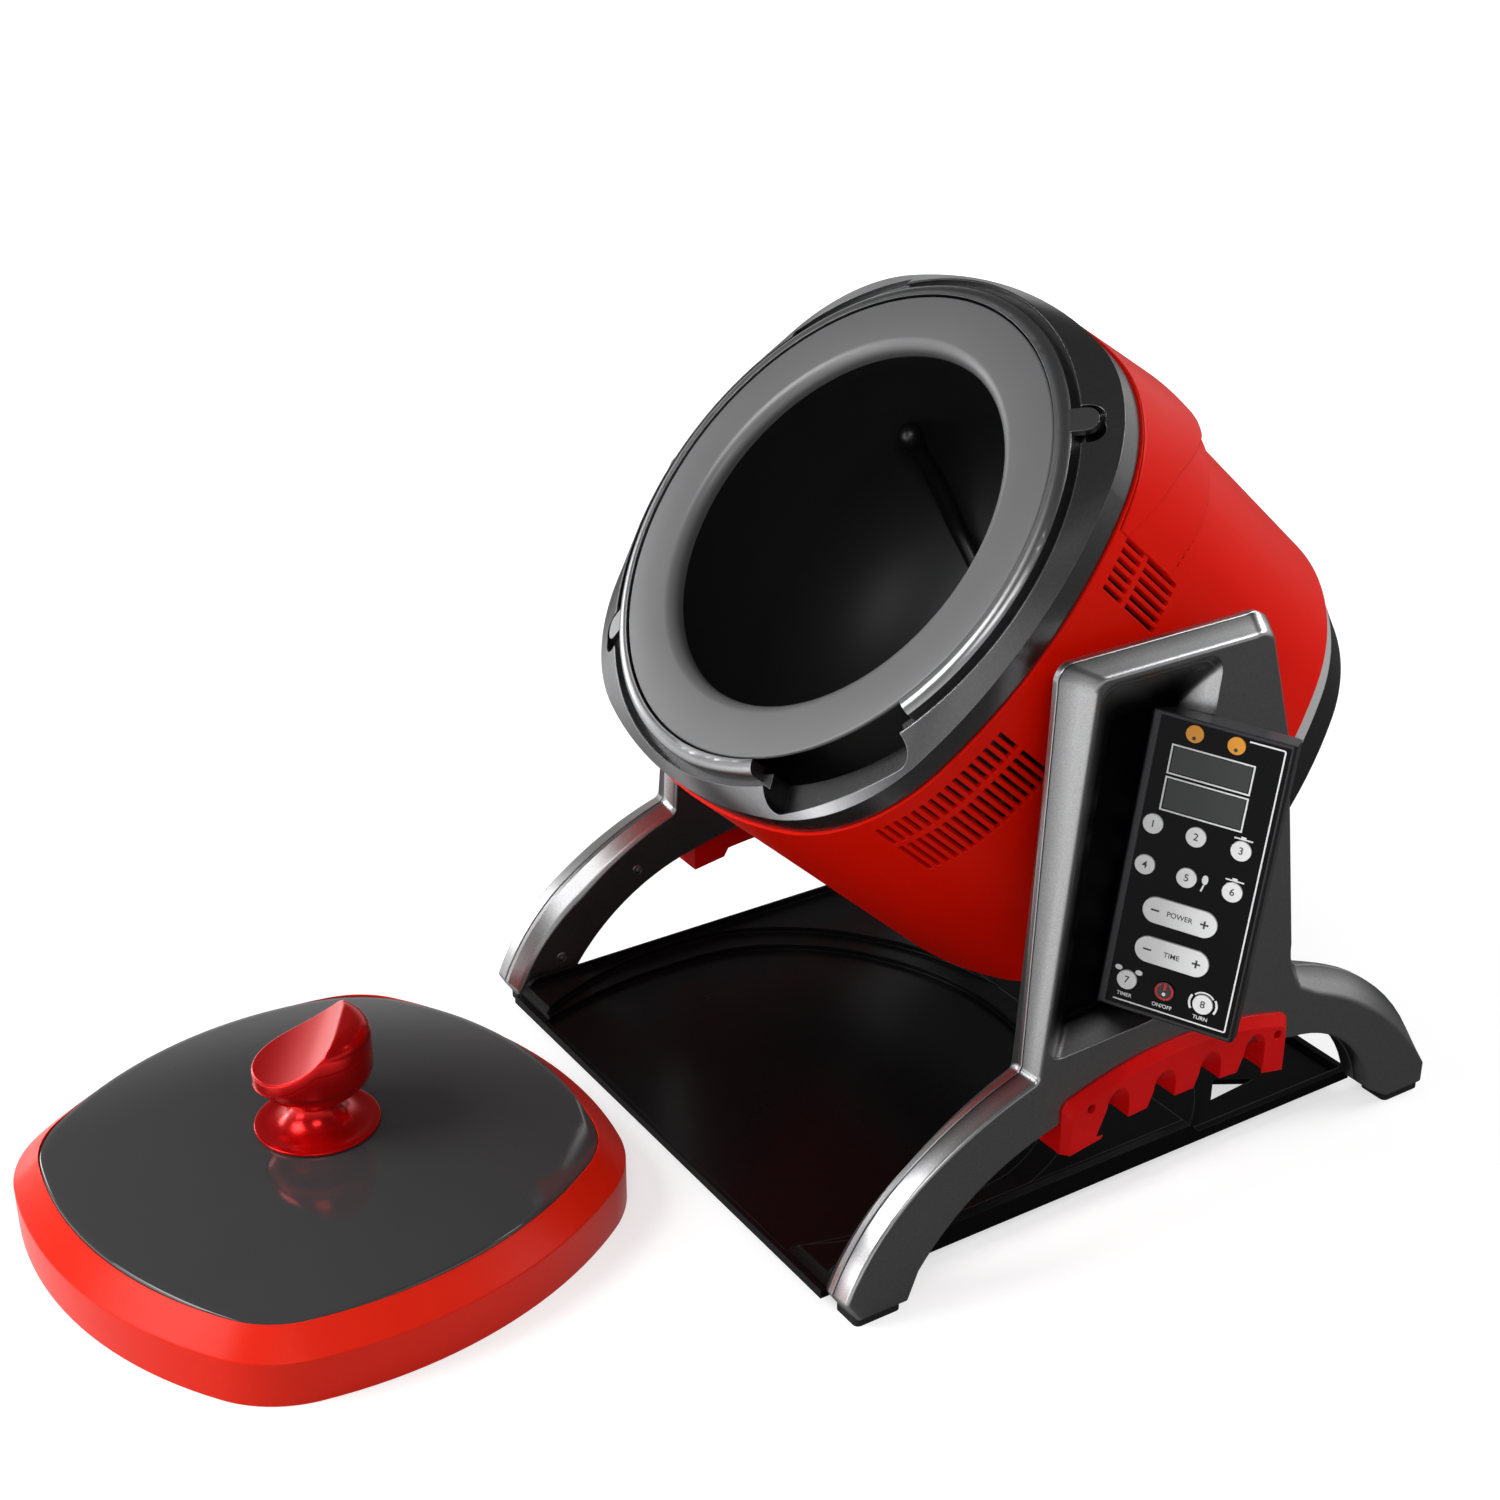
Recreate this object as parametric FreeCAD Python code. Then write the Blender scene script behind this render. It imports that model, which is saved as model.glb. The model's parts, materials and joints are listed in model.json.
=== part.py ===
import FreeCAD, Part
import math
import os

# A countertop cooking robot: a tilting drum with a spinning pot, carried between
# two arched side frames on a base tray, with a control console on the right tower
# and its lid set down beside it. Millimetres, Z up, the front of the machine is -Y.
# The origin lies on the table, midway between the two frames.

Vector = FreeCAD.Vector
X_AXIS = Vector(1, 0, 0)
Y_AXIS = Vector(0, 1, 0)
Z_AXIS = Vector(0, 0, 1)
ORIGIN = Vector(0, 0, 0)
FULL_TURN = 360.0

# Clearances, cutter overshoot and search limits
seat_gap = 0.05
running_gap = 0.06
body_gap = 0.3
shaft_end_gap = 0.5
cut_margin = 1.0
fuse_overlap = 0.5
far = 500.0
match_tolerance = 0.1
nearly_parallel = 0.9

# Drum body section: a rounded square with bulging sides
body_half = 147.0
body_corner_bulge = 11.5
body_corner = body_half + body_corner_bulge
body_corner_radius = 95.0
shell_wall = 3.0

# Side frames: arches with a tower on each, in two half shells
drum_side_gap = 8.0
inner_shell_width = 10.0
outer_shell_width = 11.0
frame_inner_x = body_half + drum_side_gap
frame_seam_x = frame_inner_x + inner_shell_width
frame_outer_x = frame_seam_x + outer_shell_width
frame_wall = 2.5
foot_sole_z = 4.0
tower_top_z = 309.0
outer_bevel_top_drop = 6.0
inner_bevel_top_drop = 3.5
inner_bevel_width = 7.0
seam_groove = 0.8
frame_screw_places = ((-112.0, 69.0), (-163.0, 27.0), (112.0, 70.0), (158.0, 34.0))
frame_screw_sink = 0.6
small_screw_radius = 3.2
small_screw_length = 5.4

# Side frame outlines, as Y and Z. Each is drawn at the seam and at both faces.
arch_start = (-158.0, foot_sole_z)
arch_underside = [
    (158.0, foot_sole_z),
    (143.0, 14.0),
    ((121.0, 51.0), (80.0, 68.0)),
    ((0.0, 80.0), (-80.0, 69.0)),
    ((-122.0, 49.0), (-152.0, 19.0)),
]
seam_arch = [
    (-187.0, foot_sole_z),
    (-195.0, 16.0),
    ((-177.0, 47.0), (-148.0, 73.5)),
    ((-97.0, 100.0), (-40.0, 112.0)),
    ((24.0, 114.0), (88.0, 103.0)),
    ((151.0, 69.0), (187.0, 16.0)),
    (186.0, foot_sole_z),
]
outer_face_arch = [
    (-186.0, foot_sole_z),
    (-194.0, 16.0),
    ((-176.0, 46.0), (-147.5, 72.0)),
    ((-97.0, 97.5), (-40.0, 109.0)),
    ((24.0, 110.0), (84.0, 94.5)),
    ((146.0, 59.5), (184.5, 16.0)),
    (184.5, foot_sole_z),
]
inner_face_arch = [
    (-184.0, foot_sole_z),
    (-191.5, 12.0),
    ((-174.5, 40.0), (-148.5, 63.0)),
    ((-101.0, 93.0), (-40.0, 110.0)),
    ((24.0, 112.0), (87.0, 101.0)),
    ((149.0, 67.5), (185.0, 16.0)),
    (184.0, foot_sole_z),
]
tower_start = (-88.5, 92.0)
tower_rear_top = (58.0, 245.0)
tower_rear_low = (75.0, 128.0)
seam_tower = [
    (-88.5, 106.0),
    (-80.5, 299.0),
    ((-78.3, 306.4), (-71.5, tower_top_z)),
    (30.0, tower_top_z),
    ((40.0, 307.0), (44.0, 300.0)),
    tower_rear_top,
    tower_rear_low,
    ((79.0, 113.0), (92.0, 101.0)),
]
outer_face_tower = [
    (-85.8, 106.0),
    (-66.8, 296.5),
    ((-65.2, 301.0), (-60.5, tower_top_z - outer_bevel_top_drop)),
    (27.0, tower_top_z - outer_bevel_top_drop),
    ((36.5, 301.2), (40.0, 294.5)),
    (55.5, 243.0),
    (73.0, 126.0),
    ((76.5, 108.0), (86.0, 94.0)),
]
inner_face_tower = [
    (-86.5, 106.0),
    (-73.6, 296.5),
    ((-71.8, 303.4), (-66.0, tower_top_z - inner_bevel_top_drop)),
    (29.0, tower_top_z - inner_bevel_top_drop),
    ((38.4, 303.8), (42.0, 297.5)),
    (57.0, 244.0),
    (74.5, 127.0),
    ((78.5, 112.0), (91.0, 100.0)),
]

# Window recess in the right tower, behind the console, and its panel line on the left
recess_floor_setback = 5.3
recess_floor_x = frame_inner_x + recess_floor_setback
recess_wall = 2.0
window_corners = ((-66.0, 300.0), (8.0, 300.0), (-12.0, 113.0), (-84.0, 109.0))
floor_corners = ((-45.5, 276.0), (-6.0, 276.0), (-24.0, 121.0), (-64.0, 118.5))
panel_line_depth = 1.0

# Rubber feet
pad_front_y = -187.0
pad_rear_y = 158.0
pad_length = 26.0
pad_margin = 1.5
pad_corner_radius = 3.0

# Power cord gland on the back of the left tower
gland_height = 150.0
gland_radius = 7.0
gland_bore_radius = 3.6
gland_inside_length = 6.0
gland_outside_length = 10.0
gland_flange_radius = 9.4
gland_flange_start = 2.0
gland_flange_thickness = 2.0
gland_sleeve_base_radius = 6.4
gland_sleeve_tip_radius = 5.2
gland_hole_reach = 12.0

# Grips under the arches
grip_overhang = 5.0
grip_inner_setback = 3.0
grip_outer_x = frame_outer_x + grip_overhang
grip_inner_x = frame_inner_x + grip_inner_setback
grip_face_drop = 5.0
grip_face_bevel = 4.0
grip_end_draw = 0.7
grip_half_length = 72.5
grip_start = (-71.5, 55.5)
grip_upper = [
    (-71.5, 80.0),
    ((-69.5, 83.5), (-65.5, 85.5)),
    ((6.0, 97.0), (67.5, 88.0)),
    ((71.7, 86.0), (73.5, 82.0)),
]
grip_lower = [
    (73.5, 55.5),
    (58.5, 58.5),
    (57.0, 63.5),
    ((3.0, 66.5), (-48.5, 63.5)),
    (-51.5, 58.5),
]
grip_underside_z = 66.5
grip_scoop_centres = (-39.5, -10.0, 19.5, 49.0)
grip_scoop_radius = 7.0
grip_scoop_face_z = 74.5
grip_scoop_inset = 9.5
grip_scoop_runs = 4.0
grip_scoop_flare = 6.0
grip_screw_radius = 2.4
grip_screw_sink = 1.2
grip_screw_places = ((-56.5, 78.3), (64.3, 78.4))

# Base tray
tray_half_width = frame_inner_x - seat_gap
tray_front_y = -194.0
tray_rear_y = 150.0
tray_bottom_z = 7.0
tray_floor_z = 10.0
tray_lip_z = 12.0
tray_lip_length = 4.0
tray_slope_middle = (8.0, 18.0)
tray_slope_length = 14.0
tray_rim_z = 21.0
tray_rim_bevel = 2.5
tray_plate_z = 17.0
tray_band_z = 13.5
tray_shelf_z = 13.0
tray_step_front_y = 34.0
tray_step_rear_y = 42.0
tray_side_wall = 4.0
dish_front_y = -191.0
dish_side_setback = 23.45
band_side_setback = 7.45
floor_side_setback = 4.15
dish_side_x = tray_half_width - dish_side_setback
band_side_x = tray_half_width - band_side_setback
floor_side_x = tray_half_width - floor_side_setback
dish_outline = [
    (dish_side_x - 10.5, dish_front_y),
    ((dish_side_x + 2.5, -128.0), (dish_side_x, -66.0)),
    ((dish_side_x - 18.5, -28.0), (dish_side_x - 55.5, 5.0)),
    ((39.0, 22.0), (0.0, 27.0)),
]
band_outline = [
    (band_side_x - 23.5, dish_front_y),
    ((band_side_x, -122.0), (band_side_x, -66.0)),
    ((band_side_x - 16.5, -29.0), (band_side_x - 54.5, 10.0)),
    ((48.0, 34.0), (0.0, 42.0)),
]
rear_floor_start = (0.0, 98.0)
rear_floor_outline = [
    ((42.0, 96.0), (82.0, 88.0)),
    ((floor_side_x - 27.8, 68.0), (floor_side_x, 37.0)),
]
side_opening_start = (floor_side_x - 16.8, 70.0)
side_opening_outline = [(floor_side_x - 30.3, 84.0), (floor_side_x - 19.3, 102.0)]

# Drum placement: the trunnion axis, the mouth's tilt and how far it lies before the axis
trunnion_y = 17.8
trunnion_z = 227.7
mouth_elevation = 42.7
trunnion_depth = 146.0

# Pot: depths are measured in from the mouth plane
pot_rim_margin = 19.9
pot_flange_width = 23.1
pot_lip_roll = 6.0
pot_flange_radius = body_half - pot_rim_margin
pot_flange_inner_radius = pot_flange_radius - pot_flange_width
pot_lip_radius = pot_flange_inner_radius - pot_lip_roll
pot_lip_depth = 6.0
pot_lip_bend_setback = 1.7
pot_lip_bend_depth = 2.2
pot_lip_back_setback = 3.8
pot_lip_back_depth = 3.5
pot_lip_bend = (pot_lip_radius + pot_lip_bend_setback, -pot_lip_bend_depth)
pot_lip_back_bend = (pot_lip_radius + pot_lip_back_setback, -pot_lip_back_depth)
pot_rim_depth = 8.5
pot_rim_wall = 2.5
pot_wall = 2.5
pot_belly_swell = 21.0
pot_belly_radius = pot_lip_radius + pot_belly_swell
pot_belly_depth = 88.0
pot_shoulder_draw = 6.0
pot_shoulder_radius = pot_belly_radius - pot_shoulder_draw
pot_shoulder_depth = pot_belly_depth / 2.0
pot_shoulder_lean = 14.0
pot_base_depth = 168.0
pot_base_draw = 47.0
pot_base_radius = pot_belly_radius - pot_base_draw
pot_heel_draw = 10.0
pot_heel_rise = 32.0
pot_heel_radius = pot_belly_radius - pot_heel_draw
pot_heel_depth = pot_base_depth - pot_heel_rise
pot_heel_lean = -34.0
pot_floor_dish = 4.0
pot_floor_depth = pot_base_depth + pot_floor_dish
blade_radius = 5.0
blade_ball_radius = 6.8

# The rib's line, as places in from the belly's radius, round the pot, and up from its base
blade_path = (
    (8.5, 138.3, 88.0),
    (10.5, 142.3, 55.0),
    (22.0, 146.3, 26.0),
    (39.0, 148.0, 9.0),
    (57.0, 149.0, 2.0),
)

# Pot drive, stacked behind the pot's floor
hub_radius = 34.0
hub_thickness = 6.0
hub_rise = 2.0
hub_to_gear = 3.5
gear_thickness = 8.0
gear_to_plate = 4.0
plate_thickness = 4.0
spindle_radius = 8.0
spindle_tail = 9.0
bearing_radius = 14.0
bearing_length = 9.0
bearing_boss_wall = 3.0
bearing_boss_drop = 5.0
motor_radius = 21.0
motor_length = 38.0
motor_tail_radius = 9.5
motor_tail_length = 4.0
motor_shaft_radius = 3.0
motor_shaft_hole_gap = 2.0
motor_bore_depth = 10.0
gear_front_depth = pot_floor_depth + pot_wall + hub_thickness + hub_to_gear
plate_depth = gear_front_depth + gear_thickness + gear_to_plate

# Drum casing, stacked behind the mouth
bezel_depth = 26.0
bezel_front_depth = 13.0
bezel_inset = 1.5
bezel_rim_gap = 4.5
bezel_bore_radius = pot_flange_radius + bezel_rim_gap
bezel_floor_depth = 9.0
bezel_wall = 3.0
collar_overhang = 3.5
collar_wall = 7.1
collar_rise = 0.6
collar_crown_width = 0.8
collar_shoulder_drop = 3.2
collar_shoulder_bulge = 0.9
collar_inner_radius = bezel_bore_radius - collar_overhang
collar_outer_radius = collar_inner_radius + collar_wall
bezel_groove_width = 4.3
bezel_land = 0.8
bezel_groove_radius = collar_outer_radius + bezel_groove_width
bezel_crown_radius = bezel_groove_radius + bezel_land
bezel_crown_depth = 4.0
plate_to_shell_end = 7.0
band_length = 14.0
band_front_inset = 0.5
band_rear_inset = 5.0
cap_length = 25.0
cap_crown_length = 16.0
cap_shoulder_inset = 12.0
cap_rear_inset = 30.0
shell_rear_depth = plate_depth + plate_thickness + plate_to_shell_end
band_rear_depth = shell_rear_depth + band_length
cap_shoulder_depth = band_rear_depth + cap_length
cap_rear_depth = cap_shoulder_depth + cap_crown_length

# Rear cap slots and screws
cap_slot_count = 9
cap_slot_pitch = 9.0
cap_slot_length = 90.0
cap_slot_width = 3.2
cap_screw_circle = 84.0
cap_screw_radius = 2.2
cap_screw_head_radius = 4.0
cap_screw_head_height = 1.8
cap_screw_length = 16.0
cap_post_radius = 5.0
cap_post_gap = 0.2
cap_screw_angles = (45.0, 135.0, 225.0, 315.0)

# Hood over the drum's upper front: rear lines as depth and height up the mouth plane
hood_rise = 8.0
pad_rise = 3.5
hood_start = 62.0
hood_end = 175.0
hood_full_depth = 78.0
hood_back_depth = 130.0
hood_ridge = [(-34.0, hood_start), (-55.0, 104.0), (-77.0, 131.0), (-88.0, 150.0), (-90.0, hood_end)]
pad_edge = [(-70.0, hood_start), (-80.0, 95.0), (-84.0, 118.0), (-92.0, 141.0), (-97.0, hood_end)]

# Finger recess, slot and lid tabs at the mouth, as angles round it
recess_angle = -45.5
recess_half_angle = 16.0
recess_reach = 11.7
recess_outer_radius = bezel_crown_radius + recess_reach
recess_depth = 22.0
recess_corner_radius = 9.0
recess_block_angle = 6.0
collar_gap_half_angle = 19.0
slot_angle = 131.0
slot_half_angle = 15.0
slot_setback = 2.3
slot_width = 7.0
slot_inner_radius = collar_outer_radius + slot_setback
slot_outer_radius = slot_inner_radius + slot_width
slot_depth = 11.0
tab_angles = (43.0, 225.0)
tab_reach = 13.0
tab_outer_radius = collar_outer_radius + tab_reach
tab_width = 13.0
tab_end_radius = 6.0
tab_root_drop = 2.0
tab_thickness = 3.6
tab_tilt = 25.0
tab_root_overlap = 1.5
tab_pocket_gap = 1.2
tab_pocket_depth = 14.5
tab_pocket_turns = (-2.4, 2.4)

# Vents in the drum shell, as the first angle of each group and how many follow
vent_slot_width = 2.3
vent_pitch_angle = 1.8
vent_front_start = 34.5
vent_front_length = 15.0
vent_rear_start = 53.0
vent_rear_length = 25.0
vent_groups = ((-17.0, 16), (23.5, 6))
vent_cut_inward = 20.0
vent_cut_outward = 6.5
vent_cut_inner_radius = body_half - vent_cut_inward
vent_cut_outer_radius = body_corner + vent_cut_outward
trail_vent_count = 9
trail_vent_length = 8.0
trail_vent_angle = 26.9
trail_vent_start = 66.0
trail_vent_step = 1.4

# Heating coil round the pot, and the ring that carries the trunnions
former_gap = 3.1
former_inner_radius = pot_belly_radius + pot_wall + former_gap
former_wall = 3.0
former_outer_radius = former_inner_radius + former_wall
former_front_reach = 86.0
former_rear_reach = 20.0
former_front_depth = trunnion_depth - former_front_reach
former_rear_depth = trunnion_depth + former_rear_reach
spoke_count = 8
spoke_first_angle = 22.5
spoke_half_angle = 2.5
spoke_half_depth = 6.0
coil_thickness = 5.0
coil_front_reach = 54.0
coil_rear_reach = 14.0
coil_front_depth = trunnion_depth - coil_front_reach
coil_rear_depth = trunnion_depth + coil_rear_reach
coil_notch_half_angle = 2.9
coil_notch_half_depth = 6.4
carrier_wall = 9.4
carrier_inner_radius = body_half - carrier_wall
carrier_width = 26.0

# Trunnions, bushes and the tilt drive in the left tower
trunnion_radius = 10.0
trunnion_inner_gap = 0.6
trunnion_flange_radius = 17.0
trunnion_flange_thickness = 3.0
trunnion_right_tail = 0.5
trunnion_left_tail = 0.4
bush_radius = 12.5
bush_boss_radius = 14.5
tilt_gear_offset = 0.6
tilt_gear_width = 6.0
tilt_shaft_radius = 2.5
tilt_shaft_reach = 5.0
tilt_gearbox_width = 34.0
tilt_gearbox_height = 40.0
tilt_gearbox_drop = 28.0
tilt_can_thickness = 14.5
tilt_can_width = 46.0
tilt_can_height = 48.0
tilt_gear_start_x = frame_seam_x + tilt_gear_offset
tilt_gear_end_x = tilt_gear_start_x + tilt_gear_width

# Gears: module, teeth, tooth proportions and tooth thinning
pot_gear_module = 1.5
pot_gear_teeth = 60
pot_pinion_teeth = 15
tilt_gear_module = 1.25
tilt_gear_teeth = 56
tilt_pinion_teeth = 14
tooth_rise = 0.95
tooth_fall = 1.25
gear_backlash = 0.16
pressure_angle = 20.0
flank_points = 5
shortest_edge = 1e-4

# Console: the face's upper left corner, its lean and its turn out of the tower
console_corner_y = -18.8
console_corner_z = 269.4
console_corner = Vector(recess_floor_x - body_gap, console_corner_y, console_corner_z)
console_lean = 8.3
console_turn = 59.4
console_width = 67.5
console_height = 150.4
console_top_margin = 2.5
console_bottom = console_height - console_top_margin
console_left_reach = 6.0
console_thickness = 12.0
console_wall = 2.0
console_pocket_left = 4.5
console_pocket_depth = 8.4
console_corner_radius = 2.5
wedge_near = 20.0
wedge_far = 56.0
wedge_back_length = 30.0
wedge_top_margin = 12.0
wedge_bottom_margin = 14.0
overlay_thickness = 1.8
board_depth = 6.0
board_thickness = 1.6
board_margin = 1.2
board_post_radius = 2.0
board_post_inset = 5.0

# Keys, bars, windows and lamps, as places across and down the face
key_radius = 4.8
key_hole_gap = 0.25
key_proud = 0.8
key_stem_radius = 2.2
key_travel = 0.8
key_places = {
    "key_one": (10.6, 52.0),
    "key_two": (31.5, 52.6),
    "key_three": (53.0, 53.0),
    "key_four": (10.6, 72.8),
    "key_five": (31.0, 73.4),
    "key_six": (53.0, 73.8),
    "key_timer": (13.0, 132.4),
    "key_on_off": (31.7, 132.4),
    "key_turn": (50.6, 133.0),
}
bar_length = 36.0
bar_width = 13.0
bar_hole_gap = 0.3
bar_proud = 0.8
bar_thickness = 4.6
bar_places = {
    "power_bar": (31.7, 93.5),
    "time_bar": (31.7, 113.9),
}
window_width = 37.0
window_places = ((31.7, 18.9, 12.4), (31.7, 36.0, 14.6))
window_gap = 0.1
window_sink = 0.2
lamp_radius = 4.2
lamp_proud = 0.5
lamp_places = ((21.4, 4.3), (41.1, 4.5))

# Lid, lying on the table
lid_centre_x = -50.0
lid_centre_y = -356.5
lid_turn = 12.4
lid_half = 139.0
lid_corner_bulge = 13.0
lid_corner = lid_half + lid_corner_bulge
lid_corner_radius = 62.0
lid_wall_height = 24.0
lid_bevel_width = 13.5
lid_bevel_rise = 12.0
lid_roof = 3.0
lid_skirt = 3.0
lid_ledge = 6.0
glass_thickness = 4.0
glass_dome = 14.0
glass_edge_drop = 1.0
seal_height = 5.0
seal_inset = 1.0
glass_edge_z = lid_wall_height + lid_bevel_rise - glass_edge_drop
glass_top_z = glass_edge_z + glass_dome

# Knob: radii from its axis, heights from its foot
knob_flange_radius = 31.0
knob_flange_edge = 1.2
knob_flare = (15.0, 5.0)
knob_waist_radius = 10.8
knob_waist_low = 12.0
knob_neck = (12.0, 16.5)
knob_neck_radius = 16.8
knob_waist_height = 19.0
knob_head_radius = 29.6
knob_head_height = 39.0
knob_chin = (25.6, 5.0)
knob_chin_height = 13.0
knob_brow_drop = 9.0
knob_brow = (26.6, 2.5)
knob_top_radius = 19.6
knob_scoop_radius = 62.0
knob_scoop_offset = 34.0
knob_scoop_rise = 38.0
knob_scoop_turn = -45.0
knob_hole_radius = 4.0
knob_bore_radius = 3.2
knob_bore_depth = 17.0
knob_screw_radius = 3.1
knob_screw_length = 13.0
knob_screw_head_radius = 7.0
knob_screw_head_height = 3.0


def point(x, y, z):
    return Vector(x, y, z)


def in_yz(x):
    return lambda a, b: Vector(x, a, b)


def in_xy(z):
    return lambda a, b: Vector(a, b, z)


def in_xz(a, b):
    return Vector(a, 0, b)


def outline(place, start, steps):
    """Closed wire. A step is an end point, or a pair of a middle point and an end point for an arc."""
    edges = []
    here = start
    for step in steps:
        if isinstance(step[0], tuple):
            middle, end = step
            edges.append(Part.Arc(place(*here), place(*middle), place(*end)).toShape())
        else:
            end = step
            edges.append(Part.makeLine(place(*here), place(*end)))
        here = end
    if here != start:
        edges.append(Part.makeLine(place(*here), place(*start)))
    return Part.Wire(edges)


def prism(wire, direction):
    return Part.Face(wire).extrude(direction)


def polygon(corners):
    return Part.makePolygon(corners + [corners[0]])


def box_between(low, high):
    size = high - low
    return Part.makeBox(size.x, size.y, size.z, low)


def turned(start, steps):
    """Solid of revolution about Z, from an outline of radius and height."""
    return Part.Face(outline(in_xz, start, steps)).revolve(ORIGIN, Z_AXIS, FULL_TURN)


def ring(inner, outer, low, high):
    return turned((inner, low), [(outer, low), (outer, high), (inner, high)])


def disc(radius, low, high, centre=(0.0, 0.0)):
    return rod(radius, point(*centre, low), point(*centre, high))


def rod(radius, start, end):
    direction = end - start
    return Part.makeCylinder(radius, direction.Length, start, direction)


def tube(inner, outer, start, end):
    return rod(outer, start, end).cut(rod(inner, start, end))


def mirrored(shape):
    return shape.mirror(ORIGIN, X_AXIS)


def both_sides(shapes):
    return shapes + [mirrored(shape) for shape in shapes]


def polar(radius, angle):
    turn = math.radians(angle)
    return radius * math.cos(turn), radius * math.sin(turn)


def evenly(count, first_angle):
    return [first_angle + place * FULL_TURN / count for place in range(count)]


def runs_along(edge, direction):
    return abs(edge.tangentAt(edge.FirstParameter).dot(direction)) > nearly_parallel


# Rounded square sections

def square_tangent(half, corner, radius):
    """Where the long side arc meets the corner arc, in the first eighth."""
    middle = (corner - radius) / math.sqrt(2.0)
    side_radius = ((half - middle) ** 2 + middle ** 2 - radius ** 2) / (2.0 * (half - middle - radius))
    centre_x = half - side_radius
    reach = math.hypot(middle - centre_x, middle)
    return centre_x + side_radius * (middle - centre_x) / reach, side_radius * middle / reach


def eight_arcs(side, corner, tangent, z):
    edges = []
    for quarter in range(4):
        turn = FreeCAD.Rotation(Z_AXIS, quarter * FULL_TURN / 4)
        low = point(tangent[0], -tangent[1], z)
        high = point(tangent[0], tangent[1], z)
        next_low = point(tangent[1], tangent[0], z)
        middle = point(*polar(corner, FULL_TURN / 8), z)
        side_arc = [low, point(side, 0, z), high]
        corner_arc = [high, middle, next_low]
        for arc in (side_arc, corner_arc):
            edges.append(Part.Arc(*[turn.multVec(end) for end in arc]).toShape())
    return Part.Wire(edges)


def rounded_square(half, corner, radius, z):
    return eight_arcs(half, corner, square_tangent(half, corner, radius), z)


def circle_in_arcs(radius, z):
    return eight_arcs(radius, radius, polar(radius, FULL_TURN / 16), z)


def body_section(inset, z):
    return rounded_square(body_half - inset, body_corner - inset, body_corner_radius - inset, z)


def lid_section(inset, z):
    return rounded_square(lid_half - inset, lid_corner - inset, lid_corner_radius - inset, z)


def section_prism(wire, height):
    return prism(wire, Z_AXIS * height)


def section_loft(*wires):
    return Part.makeLoft(list(wires), True, True)


# The drum's own frame: X to the right, Y up the mouth plane, Z out of the mouth

drum_turn = FreeCAD.Rotation(X_AXIS, FULL_TURN / 4 - mouth_elevation)
trunnion_centre = point(0, trunnion_y, trunnion_z)
drum_place = FreeCAD.Placement(trunnion_centre + drum_turn.multVec(Z_AXIS * trunnion_depth), drum_turn)


def in_machine(shape):
    placed = shape.copy()
    placed.Placement = drum_place.multiply(placed.Placement)
    return placed


def ring_sector(inner, outer, centre_angle, half_angle, low, high):
    """Piece of a ring between two angles, with flat ends."""
    first = centre_angle - half_angle
    last = centre_angle + half_angle
    steps = [
        polar(outer, first),
        (polar(outer, centre_angle), polar(outer, last)),
        polar(inner, last),
        (polar(inner, centre_angle), polar(inner, first)),
    ]
    return prism(outline(in_xy(low), polar(inner, first), steps), Z_AXIS * (high - low))


# Gears

def gear_wheel(module, teeth, width, phase):
    """Spur gear about Z with involute flanks. A tooth points along the phase angle."""
    pitch = module * teeth / 2.0
    base = pitch * math.cos(math.radians(pressure_angle))
    tip = pitch + tooth_rise * module
    root = pitch - tooth_fall * module
    start = max(base, root)
    involute = math.tan(math.radians(pressure_angle)) - math.radians(pressure_angle)
    half_tooth = (math.pi * module / 2.0 - gear_backlash) / (2.0 * pitch) + involute
    flank = []
    for step in range(flank_points):
        radius = start + (tip - start) * step / (flank_points - 1)
        roll = math.sqrt(max((radius / base) ** 2 - 1.0, 0.0))
        flank.append((radius, math.degrees(half_tooth - (roll - math.atan(roll)))))
    flank = [(root, flank[0][1])] + flank
    corners = []
    for centre in evenly(teeth, phase):
        corners += [point(*polar(radius, centre - lean), 0) for radius, lean in flank]
        corners += [point(*polar(radius, centre + lean), 0) for radius, lean in reversed(flank)]
    distinct = [corners[0]]
    for corner in corners[1:]:
        if (corner - distinct[-1]).Length > shortest_edge:
            distinct.append(corner)
    return prism(polygon(distinct), Z_AXIS * width)


def gear_distance(module, wheel_teeth, pinion_teeth):
    return module * (wheel_teeth + pinion_teeth) / 2.0


def half_step(teeth):
    return FULL_TURN / teeth / 2.0


pot_gear_distance = gear_distance(pot_gear_module, pot_gear_teeth, pot_pinion_teeth)
tilt_gear_distance = gear_distance(tilt_gear_module, tilt_gear_teeth, tilt_pinion_teeth)


# Side frames. A ruled loft between the seam's outline and a face's outline gives the bevels.

def arch_wire(upper, x):
    return outline(in_yz(x), arch_start, upper + arch_underside)


def tower_wire(front, x):
    return outline(in_yz(x), tower_start, front + [(front[-1][1][0], tower_start[1])])


def frame_block(face_arch, face_tower, face_x, bevel_x):
    """Arch and tower from the seam out to a face, beveled toward that face."""
    direction = X_AXIS * (bevel_x - frame_seam_x)
    arch = prism(arch_wire(seam_arch, frame_seam_x), direction)
    tower = prism(tower_wire(seam_tower, frame_seam_x), direction)
    arch_bevel = section_loft(arch_wire(seam_arch, bevel_x), arch_wire(face_arch, face_x))
    tower_bevel = section_loft(tower_wire(seam_tower, bevel_x), tower_wire(face_tower, face_x))
    return arch.fuse([tower, arch_bevel, tower_bevel])


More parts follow.
